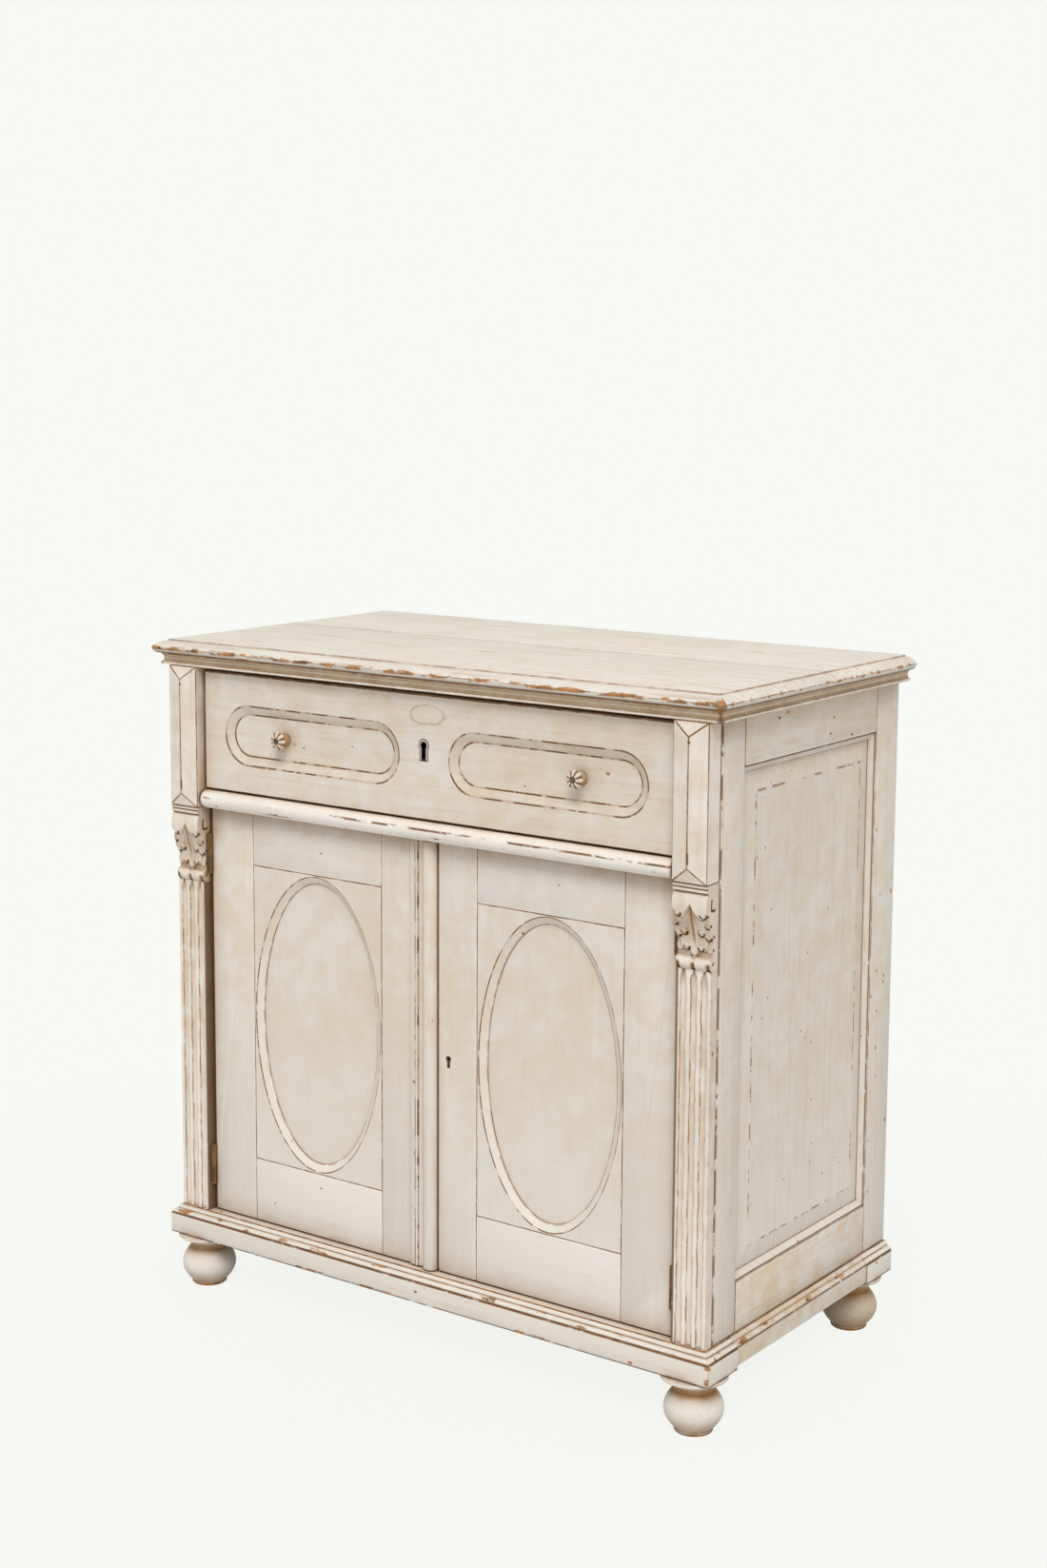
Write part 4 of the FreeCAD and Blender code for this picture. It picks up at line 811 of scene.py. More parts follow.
@dataclass
class Top:
    """Two top boards and the hollow moulding under their nose.

    Attributes:
        ease: rounding of the edges.
        nose_drop: height of the nose's tip under the top.
        knock: radius of the knocked corner at the front right.
        knock_in: how far in from both edges its middle is.
    """

    ease: float = 0.9 * MM
    nose_drop: float = 11.5 * MM
    knock: float = 14 * MM
    knock_in: float = 6 * MM

    def build(self) -> None:
        """Dress the boards and mouldings."""
        low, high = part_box("top_front_board")
        tip = high.z - self.nose_drop
        corner = rubbed_spot((high.x - self.knock_in, low.y + self.knock_in, tip), self.knock, 0.7)
        front = Rubbed((low.x, low.y, tip), (high.x, low.y, tip), 5.0 * MM, 0.78)
        flanks = tuple(Rubbed((x, low.y, tip), (x, 1.0, tip), 4.0 * MM, 0.6) for x in (low.x, high.x))
        # Painted shade and wax along the underside of the nose.
        under = rubbed_level(low.z, 3.5 * MM, 0.6)
        seam = Rubbed((low.x, high.y, high.z), (high.x, high.y, high.z), 1.8 * MM, 0.4)
        boards = AgedPaint("paint_top", Grain.ALONG_X, shift=1.0, warm=0.16, streaks=0.8, lines=1.0,
                           knocks=0.12, worn=(front, *flanks, corner), grimy=(under, seam))
        for row in ("front", "back"):
            eased(f"top_{row}_board", self.ease, boards)
        foot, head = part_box("cornice_front")
        mitre = Rubbed((head.x, foot.y, foot.z), (head.x, foot.y, head.z), self.knock, 0.4)
        # Painted light: the cornice's paint is paler and warmer, standing in for light thrown up onto the
        # cove, with less painted shade in its corners.
        for row in ("front", *SIDES):
            grain = Grain.ALONG_X if row == "front" else Grain.ALONG_Y
            paint = AgedPaint(f"paint_cornice_{row}", grain, shift=1.5, lines=0.5, wide_shade_and_wax=0.5,
                              pale=tone(242, 226, 200), grimy=(mitre,))
            eased(f"cornice_{row}", self.ease, paint, stain=0.55)


@dataclass
class Carcass:
    """Posts, side frames with raised panels, rails, inside boards and the back.

    Attributes:
        ease: rounding of the painted edges.
        post_ease: rounding of the front posts, whose corners are worn.
        inside_ease: rounding of the bare boards inside.
        corner_across: middle of the cupboard to a post's outer corner.
        gap_across: middle of the cupboard to both sides of the gap beside a door, where a dark line of shade
            is painted.
        field: width of the sloping border round a side panel's field, its tongue included.
        upper_paint: paint of the upper side rails.
        lower_paint: paint of the lower side rails, with more wax.
        bare: unpainted boards and their grain.
        nosing_ends: distance from an end of the drawer rail's nosing and share of its radius there.
        nosing_sides: sides of that nosing before its back is cut flat.
        crest: height above the nosing's middle where its paint is rubbed through.
        belly: depth below its middle where it is rubbed a little.
    """

    ease: float = 1.3 * MM
    post_ease: float = 2.0 * MM
    inside_ease: float = 0.6 * MM
    corner_across: float = 470 * MM
    gap_across: Pair = (413 * MM, 416.5 * MM)
    field: float = 45 * MM
    upper_paint: AgedPaint = AgedPaint("paint_upper_side_rails", Grain.ALONG_Y, shift=2.0, wide_shade_and_wax=0.4,
                                       unbroken=0.4)
    lower_paint: AgedPaint = AgedPaint("paint_lower_side_rails", Grain.ALONG_Y, shift=2.5, warm=0.55,
                                       warm_low=1.0, unbroken=0.4)
    bare: tuple[tuple[str, Grain], ...] = (
        ("front_top_rail", Grain.ALONG_X), ("drawer_rail", Grain.ALONG_X), ("cupboard_floor", Grain.ALONG_X),
        ("shelf", Grain.ALONG_X), ("shelf_battens", Grain.ALONG_Y), ("drawer_runners", Grain.ALONG_Y),
        ("back_boards", Grain.ALONG_Z))
    nosing_ends: Profile = (
        (0.0, 0.0), (0.0, 0.55), (0.6, 0.72), (1.8, 0.87), (3.8, 0.965), (7.0, 1.0))
    nosing_sides: int = 48
    crest: float = 4 * MM
    belly: float = 7 * MM

    def build(self) -> None:
        """Dress the frame, the panels and the inside."""
        for side, way in SIDES.items():
            low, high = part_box(f"front_post_{side}")
            outer, (near, far) = way * self.corner_across, self.gap_across
            corner = Rubbed((outer, low.y, low.z), (outer, low.y, high.z), 8 * MM, 0.36)
            # Painted shade: a dark line all along the gap beside the door.
            gap = Rubbed((way * near, low.y, low.z), (way * far, high.y, high.z), 2.0 * MM, 1.0)
            post = AgedPaint(f"paint_front_post_{side}", Grain.ALONG_Z, shift=4.5 + way, unbroken=0.8,
                             grimy=(corner, gap))
            eased(f"front_post_{side}", self.post_ease, post)
            eased(f"back_post_{side}", self.ease, PAINT_Z)
            eased(f"side_top_rail_{side}", self.ease, self.upper_paint)
            eased(f"side_bottom_rail_{side}", self.ease, self.lower_paint)
            self.panel(side, way)
        self.mouldings()
        for node, grain in self.bare:
            eased(node, self.inside_ease, PINE[grain])
        dress(frame["nodes"]["jamb_hinges"], GAP_SHADE_IRON)
        self.nosing()

    def panel(self, side: str, way: int) -> Piece:
        """Raised panel of one side, with broken lines round its field.

        Args:
            side: left or right.
            way: -1 for left, 1 for right.

        Returns:
            The panel.
        """
        low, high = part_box(f"side_panel_{side}")
        face, inset = (high.x if way > 0 else low.x), Vector((0, self.field, self.field))
        low.x = high.x = face
        lines = rubbed_border(low + inset, high - inset, 2.4 * MM, 0.27)
        paint = AgedPaint(f"paint_side_panel_{side}", Grain.ALONG_Z, shift=3.0 + way, grimy=lines,
                          dark_wax_and_shade=tone(146, 106, 64))
        return eased(f"side_panel_{side}", self.ease, paint, crisp=4.0, stain=0.1)

    def mouldings(self) -> Piece:
        """Mouldings round both side panels, with brown wax where they meet the frame.

        Returns:
            The mouldings.
        """
        low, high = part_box("panel_mouldings")
        joints = ()
        for face in (low.x, high.x):
            low.x = high.x = face
            joints += rubbed_border(low, high, 3.6 * MM, 0.46)
        paint = AgedPaint("paint_mouldings", Grain.ALONG_Z, shift=5.0, rim=1.5 * MM, chips=0.0, lines=1.0,
                          unbroken=0.7, grimy=joints)
        return eased("panel_mouldings", 1.0 * MM, paint)

    def nosing(self) -> Piece:
        """Round bar under the drawer, with rounded ends, a flat back and a rubbed front.

        Returns:
            The nosing.
        """
        low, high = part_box("drawer_rail_nosing")
        radius, length = (high.z - low.z) / 2, high.x - low.x
        ends = [(share * radius / MM, step) for step, share in self.nosing_ends]
        profile = ends + [(reach, length / MM - step) for reach, step in reversed(ends)]
        work = spun(profile, self.nosing_sides)
        bmesh.ops.rotate(work, verts=work.verts, cent=(0, 0, 0), matrix=Matrix.Rotation(math.pi / 2, 3, "Y"))
        bmesh.ops.translate(work, verts=work.verts, vec=(low.x, low.y + radius, low.z + radius))
        for vert in work.verts:
            vert.co.y = min(vert.co.y, high.y)
        middle = (low.z + high.z) / 2
        crest = rubbed_level(middle + self.crest, 2.2 * MM, 0.75)
        belly = rubbed_level(middle - self.belly, 3 * MM, 0.35)
        # Painted highlight: the nosing's paint is whiter, and more painted shade lies in the corners round
        # it.
        paint = AgedPaint("paint_nosing", Grain.ALONG_X, shift=6.0, warm=0.1, wide_shade_and_wax=1.5,
                          pale=tone(248, 244, 238), wood=tone(140, 94, 50), worn=(crest, belly))
        piece = finished(work, "drawer_rail_nosing_dressed", "carcass", paint)
        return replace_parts(piece, "drawer_rail_nosing")


@dataclass(frozen=True)
class Carving:
    """How a block is carved; all measures in millimetres.

    Attributes:
        reach: distance of the uncarved front from the post at a drop below the top.
        relief: carved height on the front at an offset from the middle and a drop.
        cut: carved depth on a flank at a distance behind the front and a drop.
        wax: how much wax and painted shade lie on the front at an offset and a drop, 0 to 1.
        line: how dark a line, mostly painted shade, is drawn on the front at an offset and a drop, 0 to 1.
        flank_shade_and_wax: how much wax and painted shade lie on the flanks, 0 to 1.
        flank: share of the sheet that wraps each flank.
    """

    reach: Callable[[float], float]
    relief: Callable[[float, float], float]
    cut: Callable[[float, float], float]
    wax: Callable[[float, float], float]
    line: Callable[[float, float], float]
    flank_shade_and_wax: float = 0.25
    flank: float = 0.2

    def block(self, low: Vector, high: Vector, cells: tuple[int, int]) -> Mesh:
        """Wrap a fine sheet round the front and both flanks of a block and carve it.

        Args:
            low: lower corner of the block.
            high: upper corner of the block, on the post's face.
            cells: faces across, flanks included, and faces up.

        Returns:
            The closed block, with the wax and painted shade under the name stain and the dark lines under the
            name edge.
        """
        middle, half, tall = (low.x + high.x) / 2, (high.x - low.x) / 2 / MM, (high.z - low.z) / MM
        work = bmesh.new()
        bmesh.ops.create_grid(work, x_segments=cells[0], y_segments=cells[1], size=0.5)
        stain_mark, edge_mark = work.verts.layers.float.new("stain"), work.verts.layers.float.new("edge")
        for vert in work.verts:
            row = round((0.5 - vert.co.y) * cells[1])
            drop = tall * max(0, min(row - 1, cells[1] - 2)) / (cells[1] - 2)
            offset = half * max(-1.0, min(1.0, 2 * vert.co.x / (1 - 2 * self.flank)))
            reach = self.reach(drop)
            behind = reach * max(0.0, abs(vert.co.x) - 0.5 + self.flank) / self.flank
            front = (reach + self.relief(offset, drop)) * (1 - behind / reach) if 0 < row < cells[1] else 0.0
            depth = self.cut(behind, drop)
            if behind > 0:
                vert[stain_mark], vert[edge_mark] = self.flank_shade_and_wax, min(1.0, depth / 2)
            else:
                vert[stain_mark], vert[edge_mark] = self.wax(offset, drop), self.line(offset, drop)
            offset -= math.copysign(depth * min(1.0, behind / 2, (reach - behind) / 3), offset)
            vert.co = Vector((middle + offset * MM, high.y - front * MM, high.z - drop * MM))
        bmesh.ops.holes_fill(work, edges=[edge for edge in work.edges if edge.is_boundary])
        bmesh.ops.recalc_face_normals(work, faces=work.faces)
        return work


@dataclass
class Pilasters:
    """Diamond-cut blocks, carved leaf capitals and fluted shafts.

    Measures of the carving are in millimetres, from the middle of the front and down from the capital's top.

    Attributes:
        ease: rounding of the blocks' edges.
        capital_cells: faces across a capital, its two flanks included, and faces up.
        shaft_cells: faces across a shaft, its two flanks included, and faces up.
        pitch: distance between the shaft's flutes.
        flute_half: half the width of a flute.
        flute_depth: depth of a flute.
        flute_point: height of a flute's pointed top.
        ground: how far the ground between the lobes is cut back.
        leaf: drop of the leaf's top and of its tip's end.
        outline: drop and reach in front of the post of the uncarved capital.
        drape: drop of the upper lobes at the middle and at their lowest, offset there, width of the border.
        lobes: offset, drop, half width, half length, lean in degrees and rise of each hanging lobe.
        tips: offset, drop, radius and groove depth of each rounded lobe tip.
        tip_rim: height of a tip's rim over the ground.
        tip_crown: height of its middle over its rim.
        hook_width: width of the groove round a tip.
        hook_eye: radius of the eyelet at that groove's inner end.
        stem_depth: depth of the stem down the leaf's middle.
        stem_foot: drop at which the stem has run out.
        stem_line: width of the painted shade in the stem and drop at which it has run out.
        scallops: offsets of the hollows in the lowest roll.
        scallop_half: half width of such a hollow.
        scallop_depth: its depth.
        scallop_line: width of the painted shade in it.
        drape_line: width of the painted shadow under the upper lobes.
        lobe_line: width of the painted shadow round a hanging lobe, as a share of the lobe.
        grooves: drops of the lines round the necking.
        groove_line: width of those lines of painted shade.
        gouges: distance behind the front, drop, radius and depth of each cut in a flank.
    """

    ease: float = 1.8 * MM
    capital_cells: tuple[int, int] = (160, 200)
    shaft_cells: tuple[int, int] = (150, 130)
    pitch: float = 16.0
    flute_half: float = 4.6
    flute_depth: float = 3.4
    flute_point: float = 14.0
    ground: float = -5.5
    leaf: Pair = (12.0, 100.0)
    outline: Profile = (
        (0, 27.0), (1.0, 28.0), (4.5, 28.0), (5.3, 26.2), (6.3, 26.2), (7.2, 28.0), (10.2, 28.0),
        (11.2, 24.5), (12.5, 25.0), (15, 27.5), (20, 29.3), (28, 30.2), (36, 29.8), (46, 27.8),
        (54, 25.4), (62, 22.4), (70, 19.8), (78, 18.4), (88, 17.6), (98, 17.0), (101, 17.0),
        (104, 18.6), (107, 19.8), (110, 19.6), (113, 18.0), (115, 15.6), (116, 15.0))
    drape: tuple[float, ...] = (31.0, 47.0, 15.0, 6.0)
    lobes: tuple[tuple[float, ...], ...] = (
        (17.0, 52.0, 11.0, 22.0, -16, 5.0), (11.5, 72.0, 9.5, 20.0, -10, 4.4),
        (0.0, 64.0, 10.0, 36.0, 0, 4.8), (22.0, 84.0, 5.0, 9.0, -8, 2.6))
    tips: tuple[tuple[float, ...], ...] = (
        (19.0, 40.5, 4.2, 3.6), (24.0, 55.0, 2.8, 3.0), (12.8, 65.5, 4.2, 3.4), (22.5, 71.0, 3.0, 2.6),
        (10.5, 86.0, 4.0, 3.2))
    tip_rim: float = 3.2
    tip_crown: float = 2.4
    hook_width: float = 0.9
    hook_eye: float = 1.7
    stem_depth: float = 1.6
    stem_foot: float = 90.0
    stem_line: Pair = (0.9, 84.0)
    scallops: tuple[float, ...] = (-24.0, -1.0, 22.0)
    scallop_half: float = 3.0
    scallop_depth: float = 3.4
    scallop_line: float = 2.4
    drape_line: float = 1.6
    lobe_line: float = 0.14
    grooves: tuple[float, ...] = (0.4, 5.8, 11.4)
    groove_line: float = 0.8
    gouges: tuple[tuple[float, ...], ...] = (
        (13.0, 22.0, 2.0, 3.0), (13.0, 26.0, 2.0, 3.2), (13.0, 30.0, 2.0, 3.2), (13.5, 34.0, 2.2, 3.2),
        (17.0, 35.5, 2.0, 3.0), (21.0, 35.0, 2.0, 2.6), (6.0, 55.0, 2.2, 2.6), (8.0, 70.0, 2.2, 2.2),
        (5.0, 88.0, 2.2, 2.2), (9.0, 106.0, 2.4, 2.2))

    def build(self) -> None:
        """Dress the blocks and shafts and carve the capitals."""
        for side, way in SIDES.items():
            low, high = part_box(f"pilaster_block_{side}")
            middle, slope = (low.x + high.x) / 2, (high.x - low.x) / 2
            foot, head = low.z + slope, high.z - slope
            ends = (Rubbed((middle, low.y, foot), (middle, low.y, foot + 12 * MM), 2.6 * MM, 0.8),
                    rubbed_spot((middle, low.y, head), 3 * MM, 0.8))
            block = AgedPaint(f"paint_block_{side}", Grain.ALONG_Z, shift=7.0 + way, lines=1.0, warm=0.32,
                              unbroken=0.6, pale=tone(242, 236, 228), grimy=ends)
            eased(f"pilaster_block_{side}", self.ease, block, smooth=6.0, merge=1.5 * MM)
            self.shaft(side)
            self.capital(side)

    def reach(self, drop: float) -> float:
        """How far the uncarved capital stands in front of the post at a drop below its top.

        Args:
            drop: distance below the top.

        Returns:
            The distance.
        """
        for (above, near), (below, far) in zip(self.outline, self.outline[1:]):
            if drop <= below:
                return near + (far - near) * (drop - above) / (below - above)
        return self.outline[-1][1]

    def relief(self, offset: float, drop: float) -> float:
        """Carved height on the front at an offset from the middle and a drop below the top.

        Args:
            offset: distance from the middle, to the right where positive.
            drop: distance below the top.

        Returns:
            The height, below 0 where wood is cut away.
        """
        top, tip = self.leaf
        if drop < top:
            return 0.0
        if drop > tip:
            near = min(abs(offset - hollow) for hollow in self.scallops)
            hollow = self.scallop_depth * math.exp(-(near / self.scallop_half) ** 2)
            return -hollow * min(1.0, max(0.0, (drop - tip - 4) / 4))
        across = abs(offset)
        height = max(self.upper_lobe(across, drop), self.lower_lobes(across, drop))
        stem = 0.8 + max(0.0, drop - self.drape[0]) * 0.03
        ends = min(1.0, max(0.0, (drop - self.drape[0] + 4) / 8), max(0.0, (self.stem_foot - drop) / 12))
        height -= self.stem_depth * math.exp(-(across / stem) ** 2) * ends
        for middle, level, radius, depth in self.tips:
            aside, down = across - middle, drop - level
            near = math.hypot(aside, down) / radius
            if near < 1:
                height = max(height, self.ground + self.tip_rim + self.tip_crown * math.sqrt(1 - near * near))
            height -= depth * self.hook(aside, down, radius)
        return height * min(1.0, (drop - top) / 3, (tip - drop) / 2)

    def upper_lobe(self, across: float, drop: float) -> float:
        """Height of the two bright lobes that hang from the top as one, down to the ground past them.

        Args:
            across: distance from the middle.
            drop: distance below the top.

        Returns:
            The height.
        """
        edge, border = self.drape_edge(across), self.drape[-1]
        if drop > edge:
            return self.ground
        ribs = 0.6 * (0.5 + 0.5 * math.cos(across * math.tau / 13))
        return self.ground + (-self.ground - ribs) * (1 - (1 - min(1.0, (edge - drop) / border)) ** 2)

    def lower_lobes(self, across: float, drop: float) -> float:
        """Height of the lobes below, which curl outwards at their tips.

        Args:
            across: distance from the middle.
            drop: distance below the top.

        Returns:
            The height.
        """
        height = self.ground
        for *oval, rise in self.lobes:
            flat, steep, inside = self.in_oval(across, drop, *oval)
            if inside > 0:
                lift = rise * (0.65 + 0.35 * steep) * (1 - (1 - min(1.0, inside / 0.3)) ** 2)
                vein = 0.5 * (0.5 + 0.5 * math.cos(flat * 10)) * inside
                height = max(height, self.ground + lift - vein)
        return height

    @staticmethod
    def in_oval(across: float, drop: float, middle: float, level: float, wide: float, long: float,
                lean: float) -> tuple[float, float, float]:
        """Where a point lies in a leaning oval.

        Args:
            across: distance from the middle of the front.
            drop: distance below the top.
            middle: the oval's distance from the middle of the front.
            level: its distance below the top.
            wide: half its width.
            long: half its length.
            lean: its lean in degrees.

        Returns:
            Shares of its half width and of its half length, and 1 at its middle down to 0 at its rim.
        """
        turn = math.radians(lean)
        aside, down = across - middle, drop - level
        flat = (aside * math.cos(turn) + down * math.sin(turn)) / wide
        steep = (down * math.cos(turn) - aside * math.sin(turn)) / long
        return flat, steep, 1 - flat * flat - steep * steep

    def drape_edge(self, across: float) -> float:
        """Drop of the upper lobes' border at an offset."""
        notch, lowest, place, _ = self.drape
        return notch + (lowest - notch) * math.sin(min(1.6, across / place) * math.pi / 2)

    @staticmethod
    def drilled(aside: float, down: float, radius: float) -> float:
        """1 in a drilled eyelet, falling to 0 at its rim."""
        return math.exp(-(math.hypot(aside, down) / radius) ** 4)

    def hook(self, aside: float, down: float, radius: float) -> float:
        """1 in the groove round the lower half of a lobe's tip, deepest at its inner end, 0 beside it.

        Args:
            aside: distance beside the tip's middle.
            down: distance below it.
            radius: the tip's radius.

        Returns:
            How much of the groove's depth is cut.
        """
        arc = 0.0
        if down > -0.2 * radius:
            arc = 0.8 * math.exp(-((math.hypot(aside, down) - radius - 0.5) / self.hook_width) ** 2)
        return max(arc, self.drilled(aside + 0.8 * radius, down - 0.45 * radius, self.hook_eye))

    def leaf_shade_and_wax(self, offset: float, drop: float) -> float:
        """Wax and painted shade on the carved leaf: little on the upper lobes, which are left light as if lit
        from above, more under them, on the lower ones and in the ground.

        Args:
            offset: distance from the middle, to the right where positive.
            drop: distance below the top.

        Returns:
            The wax and painted shade, 0 to 1.
        """
        if drop < self.leaf[0]:
            return 0.1
        if drop > self.leaf[1]:
            return min(0.8, 0.1 + max(0.0, -self.relief(offset, drop)) * 0.3)
        shut = min(1.0, max(0.0, -self.relief(offset, drop)) / 5)
        below = max(0.0, drop - self.drape_edge(abs(offset)))
        shade = 0.5 * min(1.0, below / 6, (self.leaf[1] + 4 - drop) / 12)
        return 0.05 + 0.22 * shut + shade * max(0.25, 1 - max(0.0, drop - 55) / 40)

    def leaf_line(self, offset: float, drop: float) -> float:
        """Painted shade as dark lines on the leaf: the necking's grooves, the shadowed hooks under the tips,
        the stem, the roll's hollows and under the lobes.

        Args:
            offset: distance from the middle, to the right where positive.
            drop: distance below the top.

        Returns:
            How dark the line is, 0 to 1.
        """
        dark = max(math.exp(-((drop - groove) / self.groove_line) ** 2) for groove in self.grooves)
        across, tip = abs(offset), self.leaf[1]
        for middle, level, radius, _ in self.tips:
            dark = max(dark, self.hook(across - middle, drop - level, radius))
        if drop > tip + 5:
            near = min(abs(offset - hollow) for hollow in self.scallops)
            dark = max(dark, math.exp(-(near / self.scallop_line) ** 2) * min(1.0, (drop - tip - 5) / 4))
        if self.drape[0] < drop < tip:
            width, foot = self.stem_line
            dark = max(dark, 0.7 * math.exp(-(across / width) ** 2) * min(1.0, max(0.0, (foot - drop) / 14)))
        below = drop - self.drape_edge(across)
        if below > 0:
            dark = max(dark, 0.75 * math.exp(-(below / self.drape_line) ** 2))
            for *oval, _ in self.lobes:
                _, steep, inside = self.in_oval(across, drop, *oval)
                if inside < 0 and steep > -0.3 and self.lower_lobes(across, drop) <= self.ground:
                    dark = max(dark, 0.55 * math.exp(-(inside / self.lobe_line) ** 2))
        return dark

    def flank_cut(self, behind: float, drop: float) -> float:
        """Carved depth on a flank at a distance behind the front and a drop below the top."""
        return max(depth * self.drilled(behind - middle, drop - level, radius)
                   for middle, level, radius, depth in self.gouges)

    def from_flute(self, offset: float, drop: float) -> float:
        """Distance from the nearest flute's middle in half widths, wandering as if cut by hand.

        Args:
            offset: distance from the middle, to the right where positive.
            drop: distance below the top.

        Returns:
            The distance, endless beside the outer flutes.
        """
        wander = 0.35 * math.sin(drop / 17 + offset) + 0.3 * math.sin(drop / 7.3)
        aside = (offset + wander + self.pitch / 2) % self.pitch - self.pitch / 2
        if abs(offset) > 1.5 * self.pitch:
            return math.inf
        return abs(aside) / (self.flute_half * min(1.0, 0.15 + drop / self.flute_point))

    def flute(self, offset: float, drop: float) -> float:
        """Hollow of the nearest flute at an offset across the shaft."""
        share = self.from_flute(offset, drop)
        return -self.flute_depth * math.sqrt(1 - share * share) if share < 1 else 0.0

    def flute_shade_and_wax(self, offset: float, drop: float) -> float:
        """Wax and painted shade in the flutes, most of all in the shade under the capital.

        Args:
            offset: distance from the middle, to the right where positive.
            drop: distance below the top.

        Returns:
            The wax and painted shade, 0 to 1.
        """
        if self.from_flute(offset, drop) > 1.15:
            return 0.0
        return 0.03 + 0.6 * max(0.0, 1 - drop / (2 * self.flute_point))

    def flute_line(self, offset: float, drop: float) -> float:
        """Dark line of dirt and painted shade along both borders of a flute."""
        share = self.from_flute(offset, drop)
        return 0.7 * math.exp(-((share - 1) / 0.12) ** 2) if share < 2 else 0.0

    def capital(self, side: str) -> Piece:
        """Carve one capital as a hanging leaf wrapped round the front and both flanks.

        Args:
            side: left or right.

        Returns:
            The capital.
        """
        carving = Carving(self.reach, self.relief, self.flank_cut, self.leaf_shade_and_wax, self.leaf_line)
        work = carving.block(*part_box(f"capital_{side}"), self.capital_cells)
        paint = AgedPaint("paint_carving", Grain.ALONG_Z, shift=10.0, chips=0.0, unbroken=0.8,
                          pale=tone(244, 239, 231))
        piece = finished(work, f"capital_{side}_carved", "carcass", paint, smooth=60.0)
        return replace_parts(piece, f"capital_{side}")

    def shaft(self, side: str) -> Piece:
        """Cut one shaft with its upright flutes.

        Args:
            side: left or right.

        Returns:
            The shaft.
        """
        low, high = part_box(f"pilaster_shaft_{side}")
        depth = (high.y - low.y) / MM
        carving = Carving(lambda drop: depth, self.flute, lambda behind, drop: 0.0, self.flute_shade_and_wax,
                          self.flute_line)
        inner = low.x if SIDES[side] > 0 else high.x
        # Painted shade and wax along the flank beside the door.
        corner = Rubbed((inner, low.y, low.z), (inner, high.y, high.z), 4 * MM, 0.5)
        paint = AgedPaint(f"paint_shaft_{side}", Grain.ALONG_Z, shift=8.0, warm=0.42, streaks=0.6, wide_shade_and_wax=0.7,
                          chips=0.4, pale=tone(246, 240, 231), grimy=(corner,))
        work = carving.block(low, high, self.shaft_cells)
        piece = finished(work, f"pilaster_shaft_{side}_fluted", "carcass", paint, smooth=40.0)
        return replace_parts(piece, f"pilaster_shaft_{side}")


